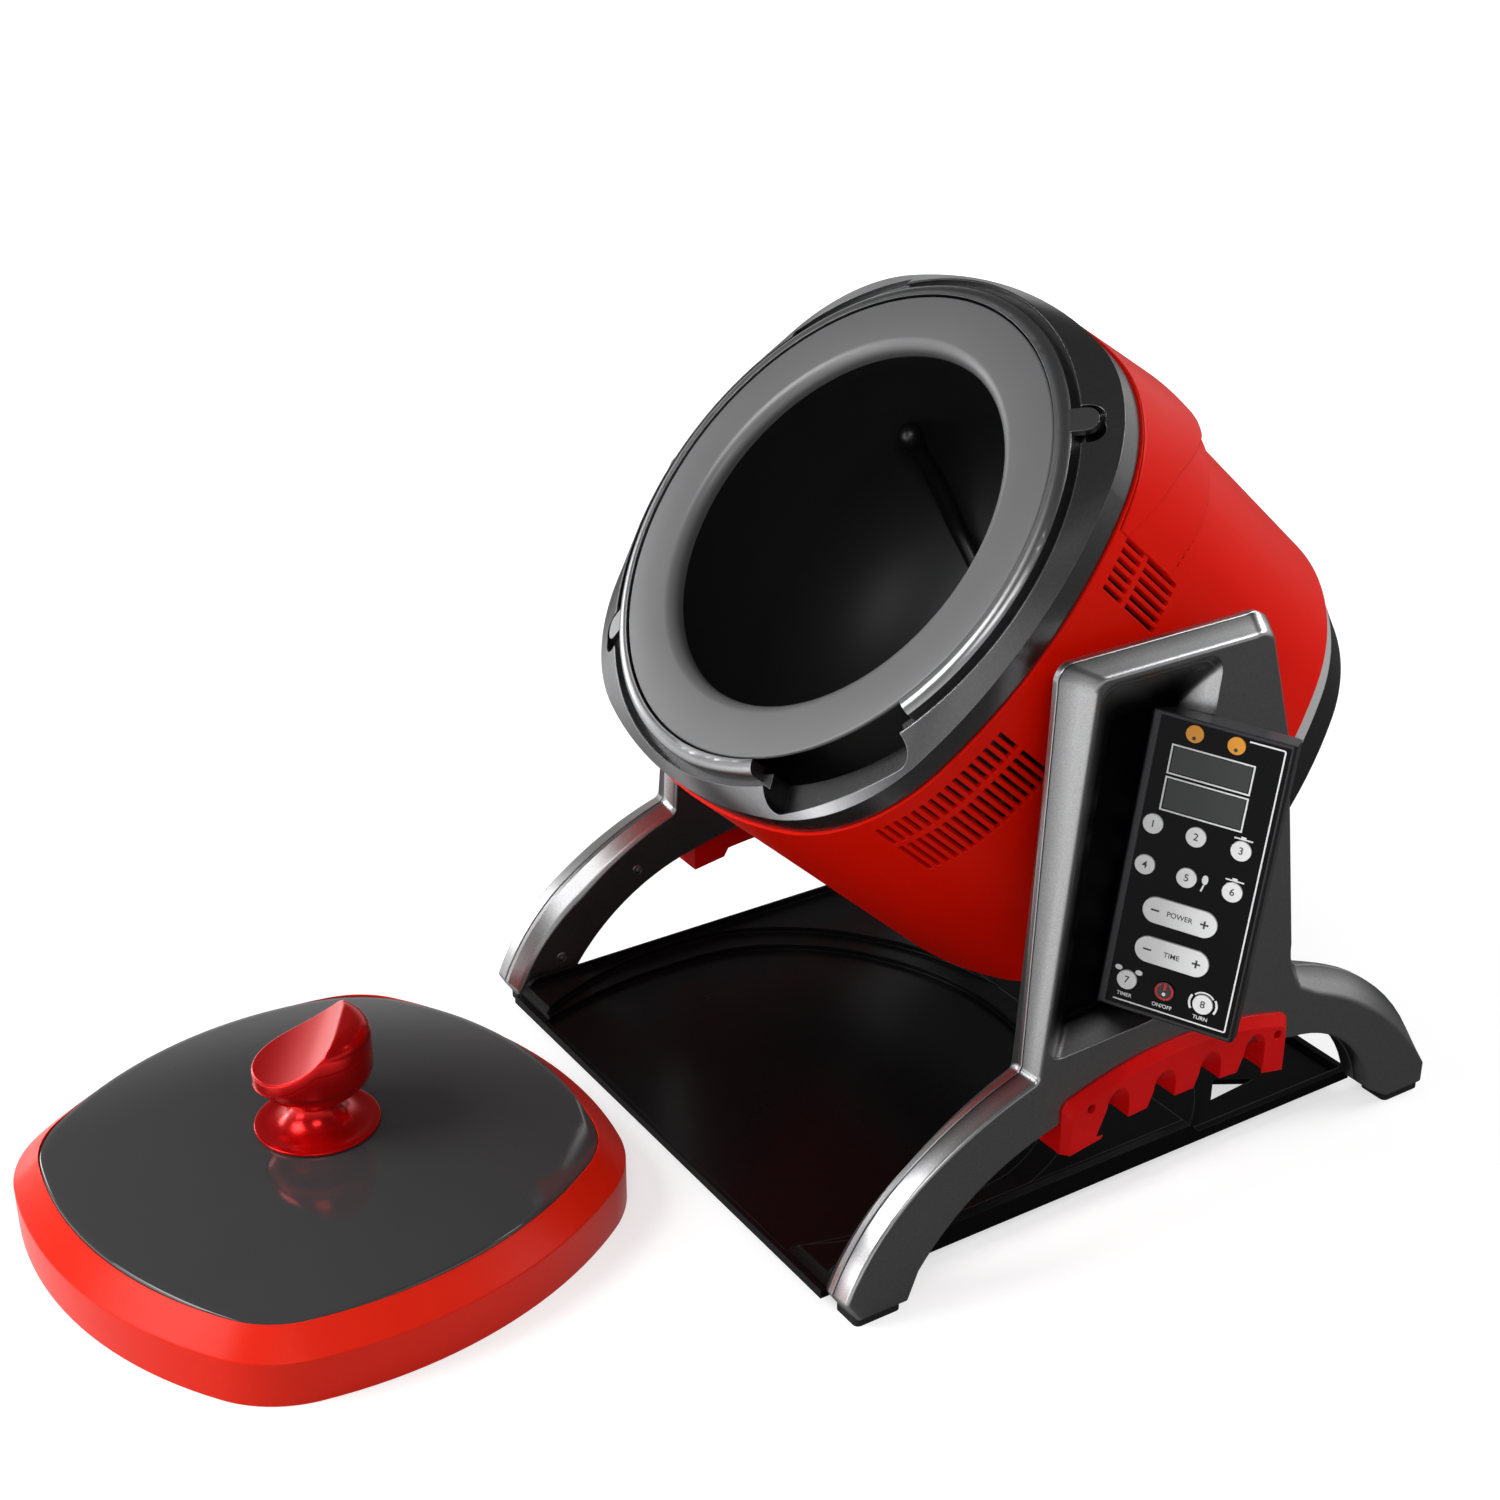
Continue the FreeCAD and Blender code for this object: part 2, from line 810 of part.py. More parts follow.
def frame_space(face_arch, face_tower, x_from, x_to):
    """The space inside a half shell: the face outlines drawn in by the wall."""
    spaces = []
    for wire in (arch_wire(face_arch, x_from), tower_wire(face_tower, x_from)):
        inner = Part.Face(wire).makeOffset2D(-frame_wall)
        spaces.append(inner.extrude(X_AXIS * (x_to - x_from)))
    return spaces[0].fuse(spaces[1])


def arch_block(x_from, x_to):
    return prism(arch_wire(seam_arch, x_from), X_AXIS * (x_to - x_from))


def inner_frame():
    """Half shell next to the drum, with the bush boss."""
    wall_x = frame_inner_x + frame_wall
    shell = frame_block(inner_face_arch, inner_face_tower, frame_inner_x, frame_inner_x + inner_bevel_width)
    shell = shell.cut(frame_space(inner_face_arch, inner_face_tower, wall_x, frame_seam_x))
    boss_start = point(frame_inner_x, trunnion_centre.y, trunnion_centre.z)
    boss_end = point(frame_seam_x, trunnion_centre.y, trunnion_centre.z)
    shell = shell.fuse(rod(bush_boss_radius, boss_start, boss_end))
    shell = shell.cut(rod(bush_radius + seat_gap, boss_start, boss_end))
    for y, z in frame_screw_places:
        shell = shell.cut(rod(small_screw_radius + seat_gap, point(frame_inner_x, y, z), point(wall_x, y, z)))
    return shell.removeSplitter()


def outer_frame():
    """Half shell on the outside, beveled along the tower's front and top and the rear arch."""
    wall_x = frame_outer_x - frame_wall
    shell = frame_block(outer_face_arch, outer_face_tower, frame_outer_x, frame_seam_x + seam_groove)
    shell = shell.cut(frame_space(outer_face_arch, outer_face_tower, frame_seam_x, wall_x))
    return shell.removeSplitter()


def recess_tub(grow):
    """The window recess: a tub from the window down to its floor, grown by a wall."""
    signs = ((-1, 1), (1, 1), (1, -1), (-1, -1))
    wires = []
    for x, corners in ((frame_outer_x, window_corners), (recess_floor_x - grow, floor_corners)):
        ends = [point(x, y + grow * a, z + grow * b) for (y, z), (a, b) in zip(corners, signs)]
        wires.append(polygon(ends))
    return Part.makeLoft(wires, True, True)


def right_outer_frame():
    shell = outer_frame().fuse(recess_tub(recess_wall))
    return shell.cut(recess_tub(0.0)).removeSplitter()


def panel_line():
    """Shallow panel on the left tower, in the shape of the right one's window."""
    wire = polygon([point(-frame_outer_x - cut_margin, y, z) for y, z in window_corners])
    return prism(wire, X_AXIS * (cut_margin + panel_line_depth))


def left_outer_frame():
    return mirrored(outer_frame()).cut(panel_line()).cut(gland_hole())


def left_inner_frame():
    return mirrored(inner_frame()).cut(gland_hole())


def frame_screws():
    """Round screw heads sunk in the inner faces."""
    screws = []
    start = frame_inner_x + frame_screw_sink
    for y, z in frame_screw_places:
        screws.append(rod(small_screw_radius, point(start, y, z), point(start + small_screw_length, y, z)))
    return Part.makeCompound(both_sides(screws))


def rubber_feet():
    pads = []
    low_x = frame_inner_x + pad_margin
    high_x = frame_outer_x - pad_margin
    for y in (pad_front_y, pad_rear_y):
        pad = box_between(point(low_x, y, 0), point(high_x, y + pad_length, foot_sole_z))
        upright = [edge for edge in pad.Edges if runs_along(edge, Z_AXIS)]
        pads.append(pad.makeFillet(pad_corner_radius, upright))
    return Part.makeCompound(both_sides(pads))


def gland_centre():
    """Where the cord leaves the left tower: on its rear edge, at the seam."""
    (upper_y, upper_z), (lower_y, lower_z) = tower_rear_top, tower_rear_low
    share = (upper_z - gland_height) / (upper_z - lower_z)
    return point(-frame_seam_x, upper_y + share * (lower_y - upper_y), gland_height)


def gland_hole():
    reach = Y_AXIS * gland_hole_reach
    return rod(gland_radius + seat_gap, gland_centre() - reach, gland_centre() + reach)


def cord_gland():
    """Plug in the tower's rear edge, with a flange and a tapered sleeve for the cord."""
    centre = gland_centre()
    inside = centre - Y_AXIS * gland_inside_length
    flange_start = centre + Y_AXIS * gland_flange_start
    flange_end = flange_start + Y_AXIS * gland_flange_thickness
    outside = centre + Y_AXIS * gland_outside_length
    plug = rod(gland_radius, inside, flange_start)
    flange = rod(gland_flange_radius, flange_start, flange_end)
    sleeve = Part.makeCone(gland_sleeve_base_radius, gland_sleeve_tip_radius, (outside - flange_end).Length,
                           flange_end, Y_AXIS)
    return plug.fuse([flange, sleeve]).cut(rod(gland_bore_radius, inside, outside))


# Grips

def drawn_in(place, drop, sinks):
    """A place on the grip's outline, moved toward its middle, and down if it sinks."""
    y, z = place
    share = 1.0 - grip_end_draw * drop / grip_half_length
    return y * share, z - drop if sinks else z


def drawn_step(step, drop, sinks):
    if isinstance(step[0], tuple):
        return tuple(drawn_in(place, drop, sinks) for place in step)
    return drawn_in(step, drop, sinks)


def grip_wire(x, drop):
    """Outline of the grip with its top and ends drawn in by a drop."""
    steps = [drawn_step(step, drop, True) for step in grip_upper]
    steps += [drawn_step(step, drop, False) for step in grip_lower]
    return outline(in_yz(x), drawn_in(grip_start, drop, False), steps)


def scoop_mouth(start, run):
    """The open lower half of a scoop, wider toward the front at the grip's lower edge."""
    low = -2.0 * grip_scoop_radius
    ends = ((-grip_scoop_radius, 0.0), (grip_scoop_radius, 0.0), (grip_scoop_radius, low),
            (-grip_scoop_radius - grip_scoop_flare, low))
    return prism(polygon([start + point(0, y, z) for y, z in ends]), run)


def grip():
    """Bar under the arch with scooped finger hollows along its lower outer edge."""
    bevel_x = grip_outer_x - grip_face_bevel
    body = prism(grip_wire(grip_inner_x, 0.0), X_AXIS * (bevel_x - grip_inner_x))
    body = body.fuse(section_loft(grip_wire(bevel_x, 0.0), grip_wire(grip_outer_x, grip_face_drop)))
    lean = point(grip_scoop_inset, 0, grip_scoop_face_z - grip_underside_z)
    for y in grip_scoop_centres:
        low = point(grip_outer_x - grip_scoop_inset, y, grip_underside_z) - lean
        run = lean * grip_scoop_runs
        body = body.cut([rod(grip_scoop_radius, low, low + run), scoop_mouth(low, run)])
    body = body.cut(arch_block(frame_inner_x - cut_margin, frame_outer_x + seat_gap))
    for y, z in grip_screw_places:
        start = point(frame_outer_x, y, z)
        body = body.cut(rod(grip_screw_radius + seat_gap, start, point(grip_outer_x + cut_margin, y, z)))
    return body


def grip_screws():
    screws = []
    end = grip_outer_x - grip_screw_sink
    for y, z in grip_screw_places:
        screws.append(rod(grip_screw_radius, point(frame_outer_x, y, z), point(end, y, z)))
    return Part.makeCompound(both_sides(screws))


# Base tray

def tray_hollow(start, steps, floor_z):
    """Hollow in the tray, drawn as its right half and mirrored to the left."""
    half = prism(outline(in_xy(floor_z), start, steps), Z_AXIS * (tray_rim_z + cut_margin - floor_z))
    return half.fuse(mirrored(half))


def on_tray_rim(edge):
    """The long outer edges along the tops of the side walls."""
    middle = edge.CenterOfMass
    at_side = abs(abs(middle.x) - tray_half_width) < match_tolerance
    return at_side and abs(middle.z - tray_rim_z) < match_tolerance


def tray_block():
    """The tray before it is hollowed: a side view drawn across the whole width."""
    slope_y, slope_z = tray_slope_middle
    steps = [
        (tray_front_y, tray_lip_z),
        (tray_front_y + tray_lip_length, tray_lip_z),
        ((tray_front_y + slope_y, slope_z), (tray_front_y + tray_slope_length, tray_rim_z)),
        (tray_step_front_y, tray_rim_z),
        (tray_step_rear_y, tray_shelf_z),
        (tray_rear_y, tray_shelf_z),
        (tray_rear_y, tray_bottom_z),
    ]
    wire = outline(in_yz(-tray_half_width), (tray_front_y, tray_bottom_z), steps)
    block = prism(wire, X_AXIS * (2 * tray_half_width))
    return block.makeChamfer(tray_rim_bevel, [edge for edge in block.Edges if on_tray_rim(edge)])


def base_tray():
    """Shallow tray between the arches, stepping down to a dish, with a lower rear end."""
    inner = tray_half_width - tray_side_wall
    rear = tray_rear_y - tray_side_wall
    plate_space = box_between(point(-inner, dish_front_y, tray_plate_z),
                              point(inner, rear, tray_rim_z + cut_margin))
    hollows = [
        plate_space,
        tray_hollow(rear_floor_start, rear_floor_outline + [(inner, rear), (0.0, rear)], tray_floor_z),
        tray_hollow((0.0, dish_front_y), band_outline, tray_band_z),
        tray_hollow((0.0, dish_front_y), dish_outline, tray_floor_z),
        tray_hollow(side_opening_start, side_opening_outline, 0.0),
    ]
    block = tray_block()
    for hollow in hollows:
        block = block.cut(hollow)
    return block.removeSplitter()


# Console

def console_directions():
    """Directions across the face, down the face, and into the console."""
    lean = math.radians(console_lean)
    turn = math.radians(console_turn)
    down = point(0, -math.sin(lean), -math.cos(lean))
    level = point(0, math.cos(lean), -math.sin(lean))
    across = X_AXIS * math.sin(turn) + level * math.cos(turn)
    return across, down, across.cross(down)


console_across, console_down, console_in = console_directions()


def on_face(across, down, depth):
    return console_corner + console_across * across + console_down * down + console_in * depth


def face_place(depth):
    return lambda a, b: on_face(a, b, depth)


def face_box(left, top, right, bottom, depth_from, depth_to):
    wire = outline(face_place(depth_from), (left, top), [(right, top), (right, bottom), (left, bottom)])
    return prism(wire, console_in * (depth_to - depth_from))


def pocket_box(margin, depth_from, depth_to):
    """Box that fills the console's pocket but for a margin."""
    left = console_pocket_left + margin
    top = console_wall - console_top_margin + margin
    right = console_width - console_wall - margin
    bottom = console_bottom - console_wall - margin
    return face_box(left, top, right, bottom, depth_from, depth_to)


def face_disc(across, down, radius, depth_from, depth_to):
    return rod(radius, on_face(across, down, depth_from), on_face(across, down, depth_to))


def face_bar(across, down, length, width, depth_from, depth_to):
    """Bar with round ends, lying across the face."""
    half = (length - width) / 2.0
    end = width / 2.0
    start = (across - half, down - end)
    steps = [
        (across + half, down - end),
        ((across + half + end, down), (across + half, down + end)),
        (across - half, down + end),
        ((across - half - end, down), (across - half, down - end)),
    ]
    return prism(outline(face_place(depth_from), start, steps), console_in * (depth_to - depth_from))


def outside_recess_floor():
    """Everything outboard of the recess floor, which the console stands on."""
    return box_between(point(recess_floor_x + seat_gap, -far, 0), point(far, far, far))


def right_side_edge(edge):
    """Long edges down the console's right side."""
    across = (edge.CenterOfMass - console_corner).dot(console_across)
    return runs_along(edge, console_down) and abs(across - console_width) < match_tolerance


def console_wedge():
    """Wedge between the console's back and the tower's outer face."""
    top = on_face(0, wedge_top_margin, console_thickness - fuse_overlap)
    near = top + console_across * wedge_near
    far_corner = top + console_across * wedge_far
    near = near + console_across * ((frame_outer_x - near.x) / console_across.x)
    back = point(frame_outer_x, near.y + wedge_back_length, near.z)
    back = back - console_down * ((back - near).dot(console_down))
    back = back + console_across * ((frame_outer_x - back.x) / console_across.x)
    length = console_bottom - wedge_top_margin - wedge_bottom_margin
    return prism(polygon([near, far_corner, back]), console_down * length)


def board_posts():
    """Short posts that hold the board off the housing's floor."""
    posts = []
    top = console_wall - console_top_margin + board_post_inset
    for across in (console_pocket_left + board_post_inset, console_width - console_wall - board_post_inset):
        for down in (top, console_bottom - console_wall - board_post_inset):
            posts.append(face_disc(across, down, board_post_radius, board_depth + board_thickness + seat_gap,
                                   console_pocket_depth + fuse_overlap))
    return posts


def console_housing():
    plate = face_box(-console_left_reach, -console_top_margin, console_width, console_bottom,
                     0.0, console_thickness)
    plate = plate.makeFillet(console_corner_radius, [edge for edge in plate.Edges if right_side_edge(edge)])
    body = plate.fuse(console_wedge()).common(outside_recess_floor()).cut(right_outer_frame())
    return body.cut(pocket_box(0.0, -cut_margin, console_pocket_depth)).fuse(board_posts())


def overlay_holes():
    low = -cut_margin
    high = overlay_thickness + cut_margin
    holes = []
    for across, down in key_places.values():
        holes.append(face_disc(across, down, key_radius + key_hole_gap, low, high))
    for across, down in bar_places.values():
        grown = 2.0 * bar_hole_gap
        holes.append(face_bar(across, down, bar_length + grown, bar_width + grown, low, high))
    for across, down, height in window_places:
        half = window_width / 2.0 + window_gap
        rise = height / 2.0 + window_gap
        holes.append(face_box(across - half, down - rise, across + half, down + rise, low, high))
    for across, down in lamp_places:
        holes.append(face_disc(across, down, lamp_radius + window_gap, low, high))
    return holes


def console_overlay():
    plate = pocket_box(seat_gap, 0.0, overlay_thickness)
    for hole in overlay_holes():
        plate = plate.cut(hole)
    return plate


def display_windows():
    panes = []
    for across, down, height in window_places:
        half = window_width / 2.0
        panes.append(face_box(across - half, down - height / 2.0, across + half, down + height / 2.0,
                              window_sink, board_depth))
    return Part.makeCompound(panes)


def indicator_lamps():
    return Part.makeCompound([face_disc(across, down, lamp_radius, -lamp_proud, board_depth)
                              for across, down in lamp_places])


def control_board():
    return pocket_box(board_margin, board_depth, board_depth + board_thickness)


def key(across, down):
    """Round key cap with a thinner stem toward the board."""
    cap = face_disc(across, down, key_radius, -key_proud, overlay_thickness + key_travel)
    stem = face_disc(across, down, key_stem_radius, 0.0, board_depth - key_travel - body_gap)
    return cap.fuse(stem).removeSplitter()


def rocker_bar(across, down):
    return face_bar(across, down, bar_length, bar_width, -bar_proud, bar_thickness - bar_proud)


# Drum

def tab(angle, grow, low, high):
    """Flat block that points outward from the collar, with rounded outer corners."""
    half = tab_width / 2.0 + grow
    reach = tab_outer_radius + grow
    bend = tab_end_radius + grow
    inner = collar_outer_radius - tab_root_overlap
    corner = bend * (1.0 - math.sqrt(0.5))
    steps = [
        (reach - bend, -half),
        ((reach - corner, -half + corner), (reach, -half + bend)),
        (reach, half - bend),
        ((reach - corner, half - corner), (reach - bend, half)),
        (inner, half),
    ]
    block = prism(outline(in_xy(low), (inner, -half), steps), Z_AXIS * (high - low))
    block.rotate(ORIGIN, Z_AXIS, angle)
    return block


def tilted_tab(angle):
    """Tab for the lid, tilted down beside the bezel's sloping face."""
    top = collar_rise - tab_root_drop
    finger = tab(0.0, 0.0, top - tab_thickness, top)
    finger.rotate(point(collar_outer_radius - tab_root_overlap, 0.0, top), Y_AXIS, tab_tilt)
    finger.rotate(ORIGIN, Z_AXIS, angle)
    return finger


def tab_pocket(angle, turn):
    """Pocket in the bezel round a tab, longer on the side where a finger gets under the tab."""
    rooms = [tab(angle + side, tab_pocket_gap, -tab_pocket_depth, cut_margin) for side in (0.0, turn)]
    return rooms[0].fuse(rooms[1])


def recess_pocket():
    """Cutter for the finger recess, with rounded outer corners."""
    pocket = ring_sector(bezel_bore_radius - cut_margin, recess_outer_radius, recess_angle, recess_half_angle,
                         -recess_depth, cut_margin)
    corners = [edge for edge in pocket.Edges if upright_at(edge, recess_outer_radius)]
    return pocket.makeFillet(recess_corner_radius, corners)


def upright_at(edge, radius):
    """Edges along Z at a distance from the axis."""
    middle = edge.CenterOfMass
    return runs_along(edge, Z_AXIS) and abs(math.hypot(middle.x, middle.y) - radius) < match_tolerance


def bezel_cavity():
    """The space behind the bezel's face, left solid round the finger recess."""
    low = -bezel_depth - cut_margin
    top = -bezel_front_depth - bezel_wall
    cavity = section_prism(body_section(bezel_inset + bezel_wall, low), top - low)
    cavity = cavity.cut(disc(bezel_bore_radius + bezel_wall, low, cut_margin))
    block = ring_sector(bezel_bore_radius - cut_margin, body_corner + cut_margin, recess_angle,
                        recess_half_angle + recess_block_angle, low, cut_margin)
    return cavity.cut(block)


def bezel():
    """Front casing: a sloping face round the mouth, hollow behind."""
    side = section_prism(body_section(bezel_inset, -bezel_depth), bezel_depth - bezel_front_depth)
    face = section_loft(body_section(bezel_inset, -bezel_front_depth),
                        circle_in_arcs(bezel_crown_radius, -bezel_crown_depth))
    block = side.fuse(face)
    block = block.cut(disc(bezel_bore_radius, -bezel_depth - cut_margin, cut_margin))
    block = block.cut(disc(bezel_groove_radius, -bezel_floor_depth, cut_margin))
    block = block.cut(bezel_cavity()).cut(recess_pocket())
    block = block.cut(ring_sector(slot_inner_radius, slot_outer_radius, slot_angle, slot_half_angle,
                                  -slot_depth, cut_margin))
    groove = disc(bezel_groove_radius - bezel_land, -tab_pocket_depth - cut_margin, 2.0 * cut_margin)
    for angle, turn in zip(tab_angles, tab_pocket_turns):
        block = block.cut(tab_pocket(angle, turn).cut(groove))
    return block


def mouth_collar():
    """Ring round the pot's rim, open at the finger recess, with two tabs for the lid."""
    shoulder_end = (collar_outer_radius, collar_rise - collar_shoulder_drop)
    crown_end = (collar_inner_radius + collar_crown_width, collar_rise)
    half_way = [(first + second) / 2.0 + collar_shoulder_bulge for first, second in zip(crown_end, shoulder_end)]
    collar = turned((collar_inner_radius, -bezel_floor_depth), [
        (collar_inner_radius, collar_rise),
        crown_end,
        (tuple(half_way), shoulder_end),
        (collar_outer_radius, -bezel_floor_depth),
    ])
    gap = ring_sector(collar_inner_radius - cut_margin, collar_outer_radius + cut_margin, recess_angle,
                      collar_gap_half_angle, -bezel_floor_depth - cut_margin, collar_rise + cut_margin)
    space = disc(collar_outer_radius - tab_root_overlap / 3.0, -bezel_floor_depth, collar_rise)
    tabs = [tilted_tab(angle).cut(space) for angle in tab_angles]
    return collar.cut(gap).fuse(tabs).removeSplitter()


def vent_places():
    """Angle, start depth and length of each vent on the right side."""
    places = []
    for first_angle, count in vent_groups:
        for place in range(count):
            angle = first_angle - place * vent_pitch_angle
            places.append((angle, vent_front_start, vent_front_length))
            places.append((angle, vent_rear_start, vent_rear_length))
    for place in range(trail_vent_count):
        angle = trail_vent_angle + place * vent_pitch_angle
        places.append((angle, trail_vent_start + place * trail_vent_step, trail_vent_length))
    return places


def vent_cutters():
    cutters = []
    half = vent_slot_width / 2.0
    for angle, start, length in vent_places():
        cutter = box_between(point(vent_cut_inner_radius, -half, -start - length),
                             point(vent_cut_outer_radius, half, -start))
        cutter.rotate(ORIGIN, Z_AXIS, angle)
        cutters.append(cutter)
    return Part.makeCompound(both_sides(cutters))


def shaft_hole():
    """Bore for both trunnions, right across the drum."""
    reach = X_AXIS * body_corner
    centre = point(0, 0, -trunnion_depth)
    return rod(trunnion_radius + seat_gap, centre - reach, centre + reach)


def drum_shell():
    front = -bezel_depth - seat_gap
    rear = -shell_rear_depth
    outer = section_prism(body_section(0.0, rear), front - rear)
    inner = section_prism(body_section(shell_wall, rear - cut_margin), front - rear + 2.0 * cut_margin)
    return outer.cut(inner).cut(vent_cutters()).cut(shaft_hole())


def hood_layer(rise, rear_line):
    """Raised layer that grows out of the drum's front edge, cut to a rear line seen from the side."""
    front = -bezel_depth - seat_gap
    lifted = [body_section(0.0, -hood_full_depth), body_section(0.0, -hood_back_depth)]
    for wire in lifted:
        wire.translate(Y_AXIS * rise)
    outer = section_loft(body_section(0.0, front), lifted[0]).fuse(section_loft(*lifted))
    layer = outer.cut(section_prism(body_section(-seat_gap, -hood_back_depth - cut_margin), hood_back_depth))
    side_view = [(front, hood_start)] + rear_line + [(front, hood_end)]
    return layer.common(prism(polygon([point(-far, y, z) for z, y in side_view]), X_AXIS * (2.0 * far)))


def drum_hood():
    return hood_layer(hood_rise, hood_ridge).fuse(hood_layer(pad_rise, pad_edge)).removeSplitter()


def rear_band():
    """Tapered ring between the red shell and the rear cap."""
    front = -shell_rear_depth
    rear = -band_rear_depth
    outer = section_loft(body_section(band_front_inset, front), body_section(band_rear_inset, rear))
    inner = section_loft(body_section(band_front_inset + shell_wall, front),
                         body_section(band_rear_inset + shell_wall, rear))
    return outer.cut(inner)


def cap_screw_centres():
    return [polar(cap_screw_circle, angle) for angle in cap_screw_angles]


def cap_screw_holes(length):
    start = -cap_rear_depth - cut_margin
    radius = cap_screw_radius + seat_gap
    return [disc(radius, start, start + length, centre) for centre in cap_screw_centres()]


def cap_slots():
    slots = []
    half = cap_slot_length / 2.0
    for place in range(cap_slot_count):
        y = (place - (cap_slot_count - 1) / 2.0) * cap_slot_pitch
        slots.append(box_between(point(-half, y, -cap_rear_depth - cut_margin),
                                 point(half, y + cap_slot_width, -cap_rear_depth + shell_wall + cut_margin)))
    return slots


def rear_cap():
    """Rounded rear cover with an inner hollow and cooling slots in its back."""
    front = -band_rear_depth
    shoulder = -cap_shoulder_depth
    rear = -cap_rear_depth
    outer = section_loft(body_section(band_rear_inset, front), body_section(cap_shoulder_inset, shoulder),
                         body_section(cap_rear_inset, rear))
    inner = section_loft(body_section(band_rear_inset + shell_wall, front),
                         body_section(cap_shoulder_inset + shell_wall, shoulder + cut_margin),
                         body_section(cap_rear_inset + shell_wall, rear + shell_wall))
    holes = cap_screw_holes(shell_wall + 2.0 * cut_margin)
    return outer.cut(inner).cut(Part.makeCompound(cap_slots() + holes))


def cap_screws():
    """Screws through the rear cap into posts on the drive plate."""
    screws = []
    back = -cap_rear_depth
    for centre in cap_screw_centres():
        head = disc(cap_screw_head_radius, back - cap_screw_head_height, back, centre)
        screws.append(head.fuse(disc(cap_screw_radius, back, back + cap_screw_length, centre)))
    return Part.makeCompound(screws)


def carrier_ring():
    """Ring inside the shell that the trunnions are fixed to."""
    low = -trunnion_depth - carrier_width / 2.0
    outer = section_prism(body_section(shell_wall + seat_gap, low), carrier_width)
    inner = disc(carrier_inner_radius, low - cut_margin, low + carrier_width + cut_margin)
    return outer.cut(inner).cut(shaft_hole())


def trunnion(side, end):
    """Shaft through shell and carrier, with a flange against the shell."""
    def on_axis(reach):
        return point(side * reach, 0, -trunnion_depth)

    flange_start = body_half + seat_gap
    flange_end = flange_start + trunnion_flange_thickness
    shaft = rod(trunnion_radius, on_axis(carrier_inner_radius + trunnion_inner_gap), on_axis(end))
    return shaft.fuse(rod(trunnion_flange_radius, on_axis(flange_start), on_axis(flange_end)))


def bush(side):
    start = point(side * (frame_inner_x + seat_gap), trunnion_centre.y, trunnion_centre.z)
    end = point(side * (frame_seam_x - seat_gap), trunnion_centre.y, trunnion_centre.z)
    return tube(trunnion_radius + running_gap, bush_radius, start, end)


def on_left_shaft(wheel, centre):
    """Turn a wheel about Z to run about X, its first tooth direction toward +Y and its second toward +Z."""
    placed = wheel.copy()
    turn = FreeCAD.Rotation(Y_AXIS, Z_AXIS, X_AXIS, "XYZ")
    base = point(-tilt_gear_end_x, centre.y, centre.z)
    placed.Placement = FreeCAD.Placement(base, turn).multiply(placed.Placement)
    return placed


def tilt_gear():
    wheel = gear_wheel(tilt_gear_module, tilt_gear_teeth, tilt_gear_width, 0.0)
    return on_left_shaft(wheel.cut(disc(trunnion_radius + seat_gap, 0.0, tilt_gear_width)), trunnion_centre)


def tilt_pinion_centre():
    return trunnion_centre - Z_AXIS * tilt_gear_distance


def tilt_pinion():
    """Pinion on the tilt motor's shaft: a gap of it faces the wheel above."""
    centre = tilt_pinion_centre()
    facing = FULL_TURN / 4 + half_step(tilt_pinion_teeth)
    wheel = on_left_shaft(gear_wheel(tilt_gear_module, tilt_pinion_teeth, tilt_gear_width, facing), centre)
    shaft = rod(tilt_shaft_radius, point(-tilt_gear_start_x, centre.y, centre.z),
                point(-tilt_gear_start_x + tilt_shaft_reach, centre.y, centre.z))
    return wheel.fuse(shaft).removeSplitter()


def tilt_motor():
    """Flat gear motor under the wheel, its gearbox behind the pinion."""
    centre = tilt_pinion_centre()
    wall_x = -frame_inner_x - frame_wall
    low_z = centre.z - tilt_gearbox_drop
    half = tilt_gearbox_width / 2.0
    gearbox = box_between(point(-frame_seam_x + seat_gap, centre.y - half, low_z),
                          point(wall_x, centre.y + half, low_z + tilt_gearbox_height))
    half = tilt_can_width / 2.0
    can = box_between(point(wall_x - tilt_can_thickness, centre.y - half, low_z - tilt_can_height),
                      point(wall_x, centre.y + half, low_z))
    bore = rod(tilt_shaft_radius + running_gap, point(-tilt_gear_start_x - cut_margin, centre.y, centre.z),
               point(-tilt_gear_start_x + tilt_shaft_reach + shaft_end_gap, centre.y, centre.z))
    return gearbox.fuse(can).cut(bore)


def coil_former():
    """Ring round the pot that holds the winding, on spokes to the carrier ring."""
    former = ring(former_inner_radius, former_outer_radius, -former_rear_depth, -former_front_depth)
    spokes = []
    for angle in evenly(spoke_count, spoke_first_angle):
        spokes.append(ring_sector(former_outer_radius - fuse_overlap, carrier_inner_radius - seat_gap, angle,
                                  spoke_half_angle, -trunnion_depth - spoke_half_depth,
                                  -trunnion_depth + spoke_half_depth))
    return former.fuse(spokes).removeSplitter()


def induction_coil():
    inner = former_outer_radius + seat_gap
    coil = ring(inner, inner + coil_thickness, -coil_rear_depth, -coil_front_depth)
    notches = []
    for angle in evenly(spoke_count, spoke_first_angle):
        notches.append(ring_sector(inner - cut_margin, inner + coil_thickness + cut_margin, angle,
                                   coil_notch_half_angle, -trunnion_depth - coil_notch_half_depth,
                                   -trunnion_depth + coil_notch_half_depth))
    return coil.cut(Part.makeCompound(notches))


